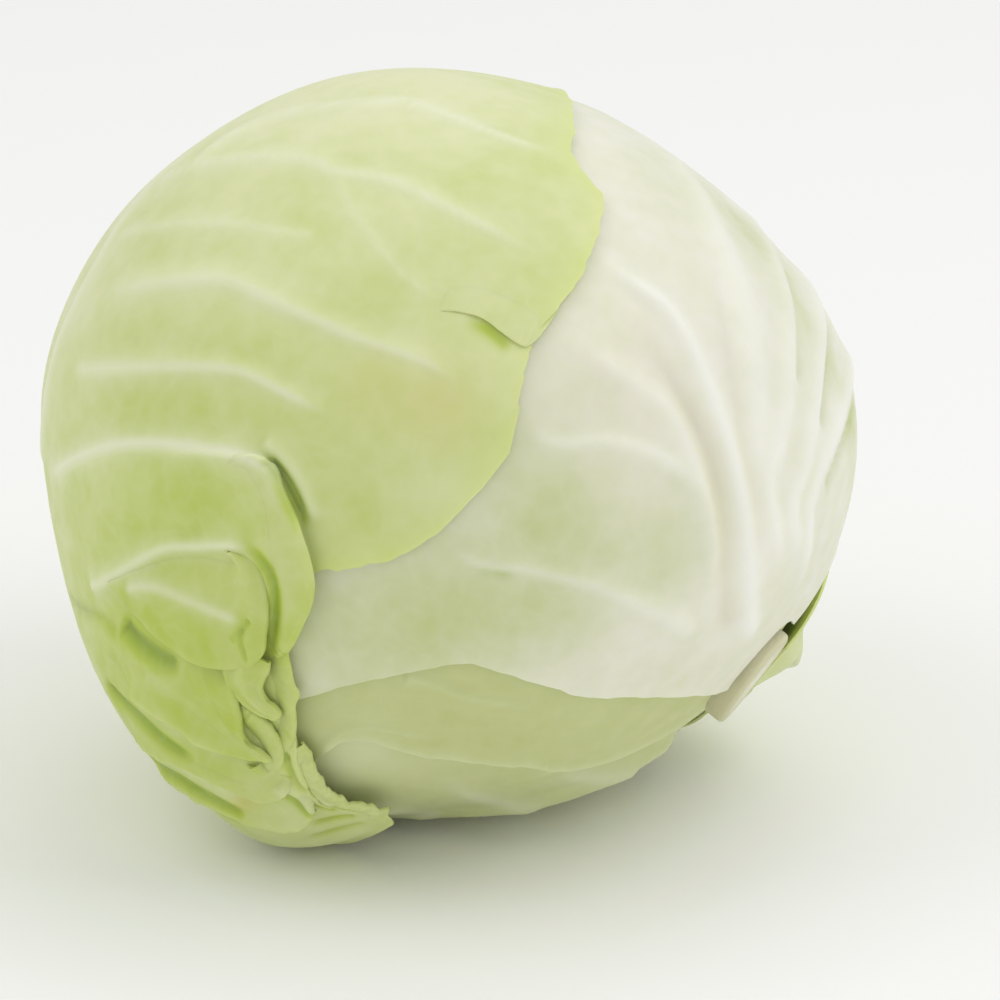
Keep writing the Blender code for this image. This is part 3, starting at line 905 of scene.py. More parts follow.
@dataclass(frozen=True)
class Fold:
    """A fold of the left leaf: a thin sheet that ends in a free edge.

    It starts at its root line in the leaf. Over a lip, the sheet follows the lip's slope, to
    the lip's line where no edge is given. Without one, it goes from the root's height to the
    rise at its edge, with the leaf's own height at the root where no root rise is given. A
    closed fold is a tongue with its edge all round, whose root line runs along its spine
    and back. Its own ridges lie on top.
    """

    name: str
    root: Sequence[Place]
    edge: Sequence[Place] = ()
    lip: Lip | None = None
    ridges: Sequence[Ridge] = ()
    rise: Sequence[float] = (0.5,)
    root_rise: Sequence[float] = ()
    swell: float = 0.0
    closed: bool = False
    roll: Roll = Roll()
    sheet: float = 0.7
    sunk: float = 0.1
    ripple: float = 0.12
    green: float = 0.1
    glow: float = 0.2
    glow_from: float = 0.85
    crowding: float = 1.3
    along: int = 171
    across: int = 34
    seed: int = 5

    def along_root(self, places: Array) -> Array:
        """Places read out along the root, and back again if the fold is closed."""
        return 1.0 - np.abs(2.0 * places - 1.0) if self.closed else places

    def grid(self, ground: Surface, level: float) -> tuple[Array, dict[str, Array]]:
        """Outer points of the fold, from its root to its edge, and its colour numbers.

        The height mixes the root's with the edge's by a soft step, plus a swell that goes as
        sin(pi v) and ripples that grow as v², for v from 0 at the root to 1 at the edge. The
        columns crowd towards the edge.
        """
        u = np.linspace(0.0, 1.0, self.along)
        v = 1.0 - (1.0 - np.linspace(0.0, 1.0, self.across)) ** self.crowding
        corners = np.array([seen(*place) for place in (self.edge or self.lip.line)])
        edge = smooth_curve(corners, u * (len(corners) - 1))[:, None, :]
        corners = np.array([seen(*place) for place in self.root])
        root = smooth_curve(corners, self.along_root(u) * (len(corners) - 1))[:, None, :]
        directions = between(root, edge, v[None, :, None])
        lines = ground.lines(directions)
        own = Surface(self.ridges).lines(directions)
        share = smooth(v)[None, :]
        rise = read_stops(self.rise, u)[:, None]
        if self.lip:
            lift = lines[0] + ground.lifted(directions, self.lip)
            lift = lift - self.sunk + (self.sunk + rise) * share
        else:
            start = lines[0] + ground.lifted(directions) - self.sunk
            if self.root_rise:
                start = read_stops(self.root_rise, self.along_root(u))[:, None]
            lift = start * (1 - share) + rise * share
            lines = lines * (1 - share)
        lift = lift + own[0] + self.swell * np.sin(math.pi * v)[None, :]
        random = np.random.default_rng(self.seed)
        for pace in RIPPLE_PACES:
            wave = np.sin(2 * math.pi * (pace * u + random.uniform()))[:, None]
            lift = lift + self.ripple * wave * v[None, :] ** 2 / math.sqrt(pace / RIPPLE_PACES[0])
        sheet = HEAD.skin(directions, level + UNEVEN.over(directions) + lift)
        tints = ground.colours(directions, lines + own)
        tints["green"] = tints["green"] + self.green * share
        glow = self.glow * smooth((v - self.glow_from) / (1 - self.glow_from))
        tints["margin"] = np.broadcast_to(glow, lift.shape)
        return sheet, tints

    def build(self, ground: Surface, level: float) -> bpy.types.Object:
        """Makes the fold over the ground of its leaf, and dresses it like the leaf."""
        sheet, tints = self.grid(ground, level)
        outer = self.roll.added(sheet)
        inner = outer - self.sheet * grid_normals(outer, self.closed)
        points, triangles = closed_sheet(outer, inner, self.closed)
        widths = ((0, 0), (0, self.roll.steps))
        rolled = {name: np.pad(values, widths, mode="edge") for name, values in tints.items()}
        piece = add_piece(self.name, points, triangles, both_faces(rolled), Dress.OUTER)
        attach(piece, "root")
        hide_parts("left_leaf")
        return piece


LEFT_STATIONS: list[Station] = [
    (grown(140, 10), grown(164, 10), grown(188, 10)),
    (grown(130, 36), grown(163, 38), grown(195, 36)),
    (grown(122, 68), grown(162, 70), grown(200, 68)),
    (grown(107, 104), grown(166, 100), grown(-128, 92)),
    (seen(73, 95), seen(140, 132), seen(238, 108)),
    (seen(71, 80), seen(168, 106), seen(257, 82)),
    (seen(68.5, 61), seen(171, 84), seen(261, 71)),
    (seen(65.5, 51), seen(169, 64), seen(249.5, 65)),
    (seen(57, 44.7), seen(166, 47), seen(241.5, 51)),
    (seen(52.3, 36), seen(163.5, 33), seen(233, 41)),
    (seen(49.5, 26.5), seen(165, 21), seen(226, 29)),
    (seen(48, 18), seen(166, 9), seen(236, 22.3)),
    (seen(36, 12.8), seen(0, 2.5), seen(258, 15.2)),
    (seen(18, 10.3), seen(-15, 8.9), seen(-55, 8.6)),
]
RIGHT_STATIONS: list[Station] = [
    (grown(104, 10), grown(36, 10), grown(-22, 10)),
    (grown(108, 21), grown(33, 26), grown(-22, 30)),
    (seen(-8, 105), seen(-20, 49), seen(-64, 46)),
    (seen(10, 107), seen(-5, 43.5), seen(-83, 35)),
    (seen(26, 106), seen(8, 41.8), seen(262, 36.5)),
    (seen(40, 103), seen(20, 40), seen(248, 41.8)),
    (seen(52, 99), seen(33, 38.3), seen(236, 49.2)),
    (seen(62, 94), seen(48, 40), seen(216, 40)),
    (seen(70, 87), seen(62, 45), seen(190, 31)),
    (seen(78, 78), seen(78, 51), seen(145, 31)),
    (seen(86, 70), seen(92, 59), seen(108, 47)),
]
LOW_STATIONS: list[Station] = [
    (grown(-12, 10), grown(-36, 10), grown(-58, 10)),
    (grown(-8, 38), grown(-33, 36), grown(-58, 34)),
    (seen(-58, 26), seen(-74, 42), seen(-76, 62)),
    (seen(-100, 24), seen(-92, 42), seen(268.5, 56.7)),
    (seen(242, 30), seen(255, 44), seen(252, 53.3)),
    (seen(228, 46), seen(236, 54), seen(246, 65.5)),
]
BOTTOM_STATIONS: list[Station] = [
    (grown(-50, 10), grown(-90, 10), grown(-130, 10)),
    (grown(-46, 40), grown(-94, 42), grown(-145, 42)),
    (seen(-84, 42), grown(-98, 60), grown(-158, 74)),
    (seen(254, 44), seen(254, 86), grown(-160, 100)),
    (seen(241, 50), seen(240, 78), seen(218, 122)),
    (seen(230, 56), seen(226, 74), seen(210, 96)),
]
BACK_STATIONS: list[Station] = [
    (grown(72, 10), grown(136, 10), grown(206, 10)),
    (grown(68, 36), grown(138, 40), grown(211, 38)),
    (seen(12, 90), grown(146, 76), grown(215, 72)),
    (seen(42, 88), grown(154, 106), grown(216, 102)),
    (seen(70, 84), seen(124, 114), grown(214, 130)),
    (seen(92, 82), seen(120, 94), seen(170, 98)),
]


def bearing_places(points: Sequence[tuple[float, float]]) -> list[Place]:
    """Clock and turn of places given by bearing and angle from the stalk."""
    places = []
    for bearing, angle in points:
        direction = grown(bearing, angle)
        right, up, near = direction @ RIGHT, direction @ UPWARD, direction @ VIEWER
        places.append((math.degrees(math.atan2(up, right)), math.degrees(math.acos(near))))
    return places


def side_ribs(
    bearing: float, angles: Sequence[float], spans: tuple[float, float], height: float = 1.8
) -> list[Ridge]:
    """Slim ribs that leave a midrib at these angles from the stalk, towards both of its sides.

    Args:
        bearing: the midrib's bearing.
        angles: how far from the stalk each pair of ribs starts.
        spans: how far in bearing the ribs reach to each side.
        height: the ribs' height in mm.

    Returns:
        The ribs as ridges.
    """
    ribs = []
    for number, angle in enumerate(angles):
        for span in spans:
            way = bearing_places([
                (bearing, angle),
                (bearing + 0.25 * span, angle + 5),
                (bearing + 0.6 * span, angle + 10 + number),
                (bearing + span, angle + 14 + 3 * number),
            ])
            ribs.append(Ridge(way, height, 5.0, 0.85, thin=3.2, taper=0.4, lean=0.4, fade_out=0.4))
    return ribs


LEFT_VEINS = [
    Ridge([(170, 65.6), (168.4, 55), (166.7, 46.5), (164.6, 39), (162.5, 31), (164.7, 24), (171, 15.6)],
          1.0, 3.2, 0.8, lean=0.7, thin=1.7),
    Ridge([(158.4, 64), (150.6, 49), (145, 41), (142.5, 33), (136, 21.7), (131.5, 18), (119.6, 13.3),
           (103, 10), (73, 7.4)], 1.0, 3.4, 0.75, lean=0.7, thin=1.7),
    Ridge([(149.6, 73), (142.7, 58.5), (135.5, 48), (128, 39.3), (122.5, 35.5)], 0.6, 3.0, 0.5, thin=1.6),
    Ridge([(140, 74), (135.5, 69), (129.4, 62), (117, 50.7), (113, 45.7), (104, 41.7), (97.5, 38),
           (86, 33), (76, 31), (62, 30)], 1.0, 3.6, 0.75, lean=0.6, thin=1.7),
    Ridge([(113, 45.7), (112.8, 38), (110, 30.6), (105.8, 24.7), (93, 19)], 0.4, 2.6, 0.4, thin=1.4),
    Ridge([(135.6, 66), (125.5, 69), (119, 68.3), (111.5, 64.5), (103.7, 61.6), (97.4, 60.3), (90.4, 56.2),
           (81, 52), (74.7, 50.7), (67, 50.5)], 1.4, 3.4, 0.9, lean=0.6, thin=1.8),
    Ridge([(184, 82), (178, 77.5), (168, 74), (156, 73), (142, 75), (130, 78), (118, 82)], 0.9, 4.0, 0.9,
          thin=2.2, taper=0.3),
    # A shallow crease just under the tuck's lip, tinted green: painted shade under the lip.
    Ridge([(84, 16.4), (76, 16.2), (67, 15.8), (58, 15), (52, 15)], -0.2, 1.8, green=0.8, taper=0.1,
          fade_in=0.5, fade_out=0.3),
]
# In the folds, the creases' green is painted shade of their hollows, partly over the leaf's own deeper green,
# and the faint vein colour on the low ridges between the creases of the lower folds is a painted highlight
# along their tops.
CORNER_RIDGES = [
    Ridge([(186, 78), (183.1, 63.2), (181.4, 53.5), (181.1, 44.5), (182.4, 36), (184.6, 29.5), (190, 25.6),
           (200, 25), (211, 25.6)], 0.7, 2.4, 1.0, taper=0.1, lean=0.6, thin=1.5, fade_out=0.4),
    Ridge([(202.6, 66), (202.6, 61.9), (201.8, 52.1), (201.5, 45.9), (204, 39.8), (206.3, 35.6),
           (209.7, 31.8)], 1.5, 2.6, 0.8, taper=0.2),
    Ridge([(201, 38.5), (201.3, 43.6)], -0.5, 4.0, green=0.15),
    Ridge([(181.2, 25.9), (186.4, 23.2), (194.1, 21.6), (203.8, 21.2), (214.8, 22.1)],
          0.9, 2.4, 0.5, taper=0.2),
    Ridge([(186.5, 25.6), (191, 24.3), (197, 23.4), (206, 23.2), (215, 24.2)],
          -1.6, 1.5, green=1.2, taper=0.1, fade_in=0.15, fade_out=0.3),
    Ridge([(209.5, 61.8), (213, 60.3), (217, 57.8), (220.6, 55.2)], -1.5, 2.8, green=1.1, taper=0.3),
    Ridge([(217.5, 61.2), (222.7, 58.4), (227.4, 56.8)], 0.6, 2.0, 0.15),
    Ridge([(204.6, 34), (209.4, 32.6), (214, 31.9), (219, 32.2), (223.6, 34), (227.4, 36.9), (229.8, 40.4),
           (230.6, 43.4)], -1.1, 1.5, green=1.1, taper=0.1, fade_in=0.4, fade_out=0.3),
    Ridge([(202.4, 82.3), (205.2, 72.3), (207.8, 66.4), (211.4, 63.6)], -1.2, 3.0, green=0.3, taper=0.3),
    Ridge([(219, 67.2), (224, 64), (230, 62.2), (236, 60.4)], 0.6, 2.6, 0.45, taper=0.2),
    Ridge([(215.5, 74.6), (219, 71.6), (222.8, 69), (227.5, 66.9), (232, 65.4)], -1.7, 2.2, green=1.1,
          taper=0.5),
    Ridge([(224, 76.4), (229, 70.9), (233.5, 69), (237.5, 68.3), (241, 68.4)], 0.7, 2.4, 0.45, taper=0.2),
    Ridge([(226.5, 79.4), (231.2, 74), (235.4, 72.1), (239, 71.2), (242, 70.9)],
          -1.6, 2.0, green=1.1, taper=0.5),
    Ridge([(233, 82.9), (236.9, 80.4), (240.3, 77.7), (243.5, 75.6), (247.3, 74.4), (249.7, 73.4)],
          -1.5, 2.0, green=0.8, taper=0.4),
    Ridge([(236.7, 85), (242.6, 84), (248.3, 81), (254.5, 78.5), (259.1, 74)], 1.0, 3.2, 0.3, taper=0.2),
    Ridge([(250.5, 72.5), (253.5, 70.6), (256.5, 70.2)], -1.0, 1.4, green=0.7, taper=0.3),
    Ridge([(251, 77), (254, 74.5), (258, 72.5)], -0.8, 1.4, green=0.5, taper=0.3),
    Ridge([(242.6, 56.8), (244.2, 59.6), (246.2, 62.2), (248.6, 64.4)], -1.1, 0.9, green=1.0, taper=0.3),
    Ridge([(244.8, 65), (248, 66.4), (250.8, 67.6), (253.6, 68.4)], -1.0, 0.9, green=0.9, taper=0.3),
    Ridge([(243.6, 62.4), (246.8, 64.4), (250, 66), (253, 67)], 0.8, 1.5, 0.3, taper=0.3),
]
SHOULDER = Lip(
    [(231.2, 43.6), (232.6, 38.7), (231.6, 33.7), (229.7, 30.1), (224.6, 27), (211.5, 24.3), (200, 23.9),
     (190.3, 24.3), (185.1, 25.8), (183.2, 30), (182, 36), (181.1, 44.5), (181.4, 53.5), (183.1, 63.2),
     (186, 74)],
    (3.2, 3.5, 3.7, 3.7, 3.6, 3.4, 3.1, 2.7, 2.2, 1.9, 1.7, 1.5, 1.2, 0.7, 0.2), 20.0)
CHEEK = Lip(
    [(215.7, 67.3), (219.5, 65.4), (223.9, 62.8), (227.2, 61.6), (230.8, 61.1), (235.4, 59.7), (239.1, 58.5),
     (240.6, 57.6), (238.7, 56.9), (236, 56.3), (234.4, 55), (233.1, 53.3), (231.3, 51.6), (228.7, 49.9),
     (225.4, 47.8)],
    (1.6, 2.6, 3.0, *[3.2] * 9, 3.0, 2.6, 2.0), 10.0, recess=2.2)
BAND = Lip(
    [(222, 74.5), (225, 72.9), (226.9, 71.1), (230.1, 68.4), (234, 67.1), (237.6, 66.6), (240.9, 66.6),
     (243.7, 66), (244.9, 63.6), (245.2, 61.4)],
    (1.0, 2.0, 2.6, 2.8, 3.0, 3.0, 3.0, 2.8, 2.6, 2.2), 9.0, recess=2.0)
LOBE = Lip(
    [(228, 81), (230.6, 78.1), (234.4, 74.9), (238.5, 72.9), (242.6, 72.1), (247.1, 71.5), (249.3, 69.9),
     (249.8, 67.4), (248.5, 64.4)],
    (1.0, 1.8, 2.4, 2.8, 3.2, 3.4, 3.2, 2.6, 1.8), 9.0, recess=2.0)
LEFT_SURFACE = Surface(
    ridges=[*LEFT_VEINS, *CORNER_RIDGES],
    lips=[SHOULDER, CHEEK, BAND, LOBE],
    green=0.38,
    # The green patches make the top of the leaf paler and its left and lower left greener and darker: partly
    # the leaf's own green, partly painted shade of the side that gets less light.
    greens=[
        Patch((100, 68), 22, -0.35),
        Patch((150, 78), 14, -0.2),
        Patch((120, 90), 30, -0.2),
        Patch((55, 45), 16, -0.1),
        Patch((245, 25), 16, 0.2),
        Patch((195, 45), 20, 0.3),
        Patch((222, 62), 24, 0.4),
        Patch((160, 26), 10, 0.12),
    ],
    blushes=[Patch((102, 4.3), 5, 0.5), Patch((145, 12), 5, 0.3), Patch((240.5, 68.7), 2, 0.7)],
)
FOLDS = [
    Fold("left_leaf_fold_shoulder", lip=SHOULDER, across=26,
         edge=[*SHOULDER.line[:7], (190.6, 24.5), (186.6, 26.6), (185.8, 29.8), (187, 33)],
         root=[(227.2, 45), (226.8, 41.4), (224.8, 38), (221.6, 35), (216.6, 32.6), (208.4, 29.6),
               (199.5, 28), (192.8, 28.8), (190.2, 30.4), (189.2, 32.6), (189, 35)],
         rise=(0.1, 0.6, 0.9, 0.9, 0.9, 0.8, 0.6, 0.4, 0.2, 0.0, -0.5), roll=Roll(1.4, 70)),
    Fold("left_leaf_fold_almond",
         edge=[(203.6, 60.1), (210.2, 56.4), (213.5, 54.7), (218, 52.3), (221.8, 50.4), (225.2, 47.8),
               (228.4, 44.6), (229.2, 41.4), (227.1, 38.6), (224.2, 36), (220.2, 34.2), (215.3, 33.3),
               (211.4, 33.6), (208.4, 34.6)],
         root=[(202.9, 58.6), (203, 53.5), (203.2, 48.5), (204, 44.5), (205.6, 41.4), (207.2, 39.4),
               (208.6, 38), (209.6, 37.4), (210.2, 37), (210.4, 36.8), (210.2, 36.6), (209.6, 36.5),
               (208.6, 36.5), (207.4, 36.6)],
         rise=(0.6, 2.2, 3.2, 3.8, 4.2, 4.6, 4.8, 4.8, 4.8, 4.6, 3.8, 2.6, 1.4, 0.1), swell=1.7, along=241,
         ridges=[
             Ridge([(204.6, 56.5), (207.1, 50), (212.5, 45), (217.9, 41.4), (222, 39.2)], 0.8, 2.0, 0.65,
                   taper=0.2, thin=1.3),
             Ridge([(222.9, 38), (223.2, 40), (224.6, 41.6), (226.6, 42.6), (228.6, 44)],
                   -0.8, 0.75, green=0.4, taper=0.3),
             Ridge([(223.4, 42.8), (223.2, 41.4), (223.3, 40)], -0.3, 0.8, green=0.3, taper=0.2),
         ]),
    Fold("left_leaf_fold_finger",
         edge=[(224.8, 47.5), (226.7, 48.8), (229, 50.1), (230.9, 50.5), (232.8, 50.8), (234.8, 51.1),
               (236.7, 51.1), (238.2, 50.7), (238.3, 49.6), (236.7, 48.8), (235, 48.4), (233.1, 47.2),
               (232.4, 45.4), (232.1, 43.9), (231.1, 42.5)],
         root=[(226.2, 42.9), (228.5, 45.2), (230.6, 47.4), (233.1, 48.9), (235.6, 49.7)],
         rise=(2.4, 2.8, 3.0, 3.0, 3.0, 2.8, 2.6, 2.6, 2.6, 2.6, 2.8, 3.0, 3.2, 3.4, 3.4),
         root_rise=(4.4, 4.8, 4.7, 4.4, 3.8), closed=True, ripple=0.04, along=221, across=22),
    Fold("left_leaf_fold_cheek", lip=CHEEK,
         root=[(209.3, 68.8), (213.5, 62.8), (218.5, 59.3), (221.5, 58), (224.4, 57.4), (229.8, 57),
               (233.4, 57), (234.6, 56.8), (233.3, 56.4), (231, 55.6), (228.6, 55.2), (226.6, 54.9),
               (225, 54.4), (223.2, 53.8), (221.6, 52.6)],
         rise=(0.2, *[0.5] * 12, 0.4, 0.3)),
    Fold("left_leaf_fold_roll",
         edge=[(229.3, 52.4), (232.4, 52.3), (234.5, 52.2), (237, 52.5), (239.7, 53.7), (242, 56.2),
               (242.9, 59.2), (241.9, 60.6), (239.8, 60.4)],
         root=[(230, 55.9), (231.9, 55.8), (234.1, 56.1), (236.2, 56.6), (238.1, 57.4), (239.2, 58.5),
               (239.5, 60), (239, 61.3), (238.2, 61.8)],
         rise=(1.0, 1.6, 2.0, 2.2, 2.4, 2.4, 2.4, 2.2, 2.0), swell=0.6, roll=Roll(1.0, 140)),
    Fold("left_leaf_fold_band", lip=BAND,
         root=[(217.5, 75), (220, 72.6), (223.2, 69.7), (227, 67.2), (230.8, 65.5), (234.6, 64.4),
               (237.4, 64), (239.4, 63.4), (240.6, 62.4), (241.4, 61)],
         rise=(0.2, 0.4, *[0.5] * 6, 0.4, 0.3)),
    Fold("left_leaf_fold_lobe", lip=LOBE,
         root=[(224.5, 81), (227.4, 77), (231.6, 72.6), (235.5, 70.6), (239.4, 69.8), (243, 69.2),
               (245.4, 68.2), (246.4, 66.8), (245.8, 65)],
         rise=(0.2, 0.4, *[0.5] * 5, 0.4, 0.3)),
    Fold("left_leaf_fold_seam",
         edge=[(241.1, 58.1), (242.4, 55.6), (242.5, 53.2), (241.5, 50.5), (239.8, 47.6), (239.4, 45.5),
               (236.6, 43.5), (232.7, 40.4), (228.9, 39.5)],
         root=[(238.8, 56.7), (239.1, 54.3), (238.6, 51.8), (237.5, 49.9), (235.6, 48.2), (233.7, 46.6),
               (231.2, 44.7), (229.6, 42.9), (228.3, 41.6)],
         rise=(1.0, 1.4, 1.6, 1.6, 1.6, 1.6, 1.6, 1.4, 1.0), roll=Roll(1.0, 70)),
    Fold("left_leaf_fold_frill",
         edge=[(244.4, 54.6), (246.8, 56.8), (248.6, 59.4), (250.6, 62), (252.8, 64.2), (255.4, 65.6),
               (258.2, 66.9), (260.6, 68.8), (259.8, 70.8)],
         root=[(242.8, 56.6), (244.6, 58.8), (246.4, 61.4), (248.4, 63.8), (250.8, 66), (253.4, 67.6),
               (255.8, 68.8), (257.4, 70), (257.6, 71.2)],
         rise=(0.3, 1.0, 1.4, 1.4, 1.4, 1.4, 1.3, 1.0, 0.3), swell=0.3, ripple=0.4, roll=Roll(0.9, 150),
         along=241, seed=12),
    Fold("left_leaf_fold_tuck",
         edge=[(94.7, 18), (84.1, 17.8), (72.7, 17.4), (60.7, 16.4), (51, 16.4), (47.9, 17.1), (47, 18.9)],
         root=[(88.9, 23.4), (80.1, 23), (70.9, 22.8), (62.3, 22.7), (55.8, 22.7), (50.6, 23.2), (48.6, 24)],
         rise=(0.0, 0.5, 0.8, 0.9, 0.9, 0.8, 0.7), roll=Roll(1.0, 30), green=0.0, ripple=0.05),
]

# The valleys beside the ribs are tinted with warm blush and the creases with green: painted shade of the
# hollows, the green partly over the leaf's own greener colour.
RIGHT_RIDGES = [
    Ridge([(-34, 66), (-30, 56.5), (-13.5, 45.9), (-4.3, 42.8), (3.2, 41), (11.5, 39.9), (20.7, 39.2),
           (30.6, 38.5), (38.6, 36.9), (55, 36)], 2.1, 4.0, 1.0, thin=2.6, taper=0.3),
    Ridge([(-33, 58), (-31.2, 51.8), (-19.3, 43.9), (-7.2, 39.9), (0.6, 37.8), (8.9, 35.5), (17.7, 33.8),
           (27.3, 32.6), (40, 31)], -1.1, 3.0, blush_and_shade=0.6, taper=0.2, fade_out=0.5),
    Ridge([(-36, 56), (-22.5, 43.7), (-7.8, 36.9), (-2.3, 34.9), (5.9, 32.8), (13.6, 29.2), (22.2, 25.8),
           (44, 22)], 1.3, 4.2, 0.55, thin=2.6, taper=0.3),
    Ridge([(-28, 47), (-16.2, 41.1), (-9.6, 36.3), (-5.8, 31.1), (-1.7, 23.3), (-3.5, 16.2), (4.7, 10.4)],
          1.0, 3.2, 0.5, thin=2.2, taper=0.3, lean=0.5),
    Ridge([(-39.9, 52), (-39.9, 44.6), (-44.2, 32.8), (-46.1, 30), (-51.8, 25.9), (-60.6, 21.7),
           (-75.2, 18.9), (-88, 15.4)], 1.3, 3.2, 0.5, thin=2.0, lean=-0.6),
    Ridge([(-62, 23), (-70, 20.6), (-82, 18.6)],
          -0.5, 1.6, green=0.3, taper=0.2, fade_in=0.4, fade_out=0.4),
    Ridge([(-28, 58), (-6.2, 47.8), (7, 48.7), (20, 51.6), (31, 55.9), (41.2, 62.5), (50, 72), (56, 84)],
          1.3, 5.0, 0.6, thin=4.0, taper=0.1),
    Ridge([(-24, 54), (-6, 45.6), (6, 45), (18, 46), (29, 49.6), (41, 56.6)], -0.6, 2.6, blush_and_shade=0.3, taper=0.1,
          fade_out=0.5),
    Ridge([(-24, 62), (-10, 50), (1.3, 53), (13.8, 58.5), (20.9, 64.4), (26.6, 69.3), (30.8, 74.5), (36, 84),
           (40, 94)], 1.5, 3.8, 0.7, thin=2.6, taper=0.1),
    Ridge([(-22, 66), (-12, 57), (-5.3, 58.4), (2.1, 61.1), (8.3, 64.7), (14.4, 70.3), (19.3, 77.4), (24, 86),
           (29, 96)], 1.4, 3.4, 0.8, thin=2.4, taper=0.1),
    Ridge([(-24, 70), (-13.1, 62.1), (-8.3, 61.9), (-3.1, 64.3), (2.9, 71.2), (7.2, 77.8), (11, 86),
           (15, 96)], 1.5, 3.2, 0.9, thin=2.2, taper=0.1),
    Ridge([(8, 59), (17, 63), (23.5, 69), (28, 75)], -0.8, 2.2, green=0.3, taper=0.1),
    Ridge([(1, 64), (9, 69), (14, 75), (18, 83)], -0.8, 2.0, green=0.4, taper=0.1),
    Ridge([(-8, 66), (-2, 71.5), (3.5, 80.7), (6, 88)], -0.8, 2.0, green=0.5, taper=0.1),
]
RIGHT_SURFACE = Surface(
    ridges=RIGHT_RIDGES,
    green=0.1,
    # The green patches on the lower half are greener and darker: partly the leaf's own green, partly painted
    # shade of the lower side, which gets less light.
    greens=[
        Patch((270, 24), 15, 0.4),
        Patch((300, 24), 12, 0.25),
        Patch((322, 26), 13, 0.25),
        Patch((332, 38), 9, 0.3),
        Patch((232, 40), 14, 0.3),
        Patch((256, 36), 12, 0.3),
        Patch((-22, 18), 10, 0.12),
        Patch((20, 8), 14, 0.15),
        Patch((32.2, 73.4), 8, 0.5),
        Patch((45, 66), 10, 0.2),
        Patch((19.8, 66.3), 5, 0.25),
        Patch((11.1, 72.4), 5, 0.35),
        Patch((3.5, 80.7), 6, 0.5),
    ],
    blushes=[Patch((15, 25), 14, 0.15), Patch((28, 30), 10, 0.15)],
)
LOW_SURFACE = Surface(
    ridges=[
        Ridge([(259.4, 38.6), (264.3, 39.1), (268.7, 40.3), (275, 42.6), (290, 48)], 0.9, 2.6, 0.2),
        Ridge([(247.5, 57.5), (249, 54.7), (249.9, 52.7), (251.8, 51.2), (255.3, 50.3), (261, 50.7),
               (272, 53)], 0.7, 1.6, 0.15),
    ],
    green=0.6,
)
BOTTOM_SURFACE = Surface(
    ridges=[Ridge(bearing_places([(-88, 13), (-90, 30), (-92, 52), (-98, 80)]), 3.5, 8.0, 0.6, taper=0.7),
            *side_ribs(-92, (22, 38, 54), (-34, 32), 0.6)],
    green=0.45,
    # A paler patch: painted light in the hollow that the left leaf's lower corner shades.
    greens=[Patch((252, 58), 8, -0.5)],
)
BACK_SURFACE = Surface(ridges=side_ribs(140, (24, 42, 60), (-40, 40)), green=0.35)


def back_of_left() -> Surface:
    """The left leaf's face with its midrib and side ribs behind the head added."""
    way = [*bearing_places([(165, 13), (167, 40), (170, 75), (172, 110)]), (172, 98)]
    midrib = Ridge(way, 6.0, 9.0, 0.5, thin=5.0, taper=0.75)
    behind = [midrib, *side_ribs(168, (22, 38, 56, 74), (-36, 30))]
    LEFT_SURFACE.ridges = [*LEFT_VEINS, *CORNER_RIDGES, *behind]
    return LEFT_SURFACE


def left_margin() -> Array:
    """The left leaf's free margin on the shown side, from its top down to its lower corner."""
    down = [row[0] for row in LEFT_STATIONS[4:]]
    back = [row[2] for row in LEFT_STATIONS[:6:-1]]
    corners = np.array(down + back)
    return smooth_curve(corners, np.linspace(0, len(corners) - 1, 120))


def beside_left_leaf(directions: Array) -> Array:
    """How open the surface is beside the left leaf: 1 clear of it and 0 well under it."""
    away, _ = line_distance(directions, left_margin())
    return smooth((away + 3.0) / 7.0)


class Head:
    """All the leaves of the head, from the outside in."""

    def leaves(self) -> list[Leaf]:
        """The wrapped leaves with their grids."""
        return [
            Leaf(
                "left_leaf_sheet", "left_leaf", "outer_leaf", Dress.OUTER, LEFT_LEVEL, LEFT_STATIONS,
                spread([0, 3, 5, 6, 10, 13], [54, 26, 16, 90, 54]),
                spread([-1, 0, 0.3, 1], [74, 26, 100]),
                back_of_left(), glow=0.8, glow_width=6.0, seed=3,
            ),
            Leaf(
                "right_leaf_sheet", "right_leaf", "pale_leaf", Dress.PALE, 3, RIGHT_STATIONS,
                spread([0, 2, 10], [24, 136]), spread([-1, 0, 1], [76, 110]),
                RIGHT_SURFACE, cover=beside_left_leaf, seed=4,
            ),
            Leaf(
                "low_leaf_sheet", "low_leaf", "outer_leaf", Dress.LOW, 2, LOW_STATIONS,
                spread([0, 5], [110]), spread([-1, 1], [70]),
                LOW_SURFACE, margin_lift=1.0, glow=0.6, seed=6,
            ),
            Leaf(
                "bottom_leaf_sheet", "bottom_leaf", "outer_leaf", Dress.LOW, 1, BOTTOM_STATIONS,
                spread([0, 5], [110]), spread([-1, 0, 1], [60, 60]),
                BOTTOM_SURFACE, margin_lift=0.0, seed=7,
            ),
            Leaf(
                "back_leaf_sheet", "back_leaf", "outer_leaf", Dress.OUTER, 2, BACK_STATIONS,
                spread([0, 5], [110]), spread([-1, 0, 1], [60, 60]),
                BACK_SURFACE, margin_lift=0.2, seed=8,
            ),
        ]

    def build(self) -> None:
        """Makes the leaves, the folds and the finish of the heart."""
        for leaf in self.leaves():
            leaf.build()
        for fold in FOLDS:
            fold.build(LEFT_SURFACE, LEFT_LEVEL * HEAD.step)
        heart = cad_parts["heart"]
        heart.data.materials.clear()
        heart.data.materials.append(dressed(Dress.HEART))
        LOG.info("heart: dressed")


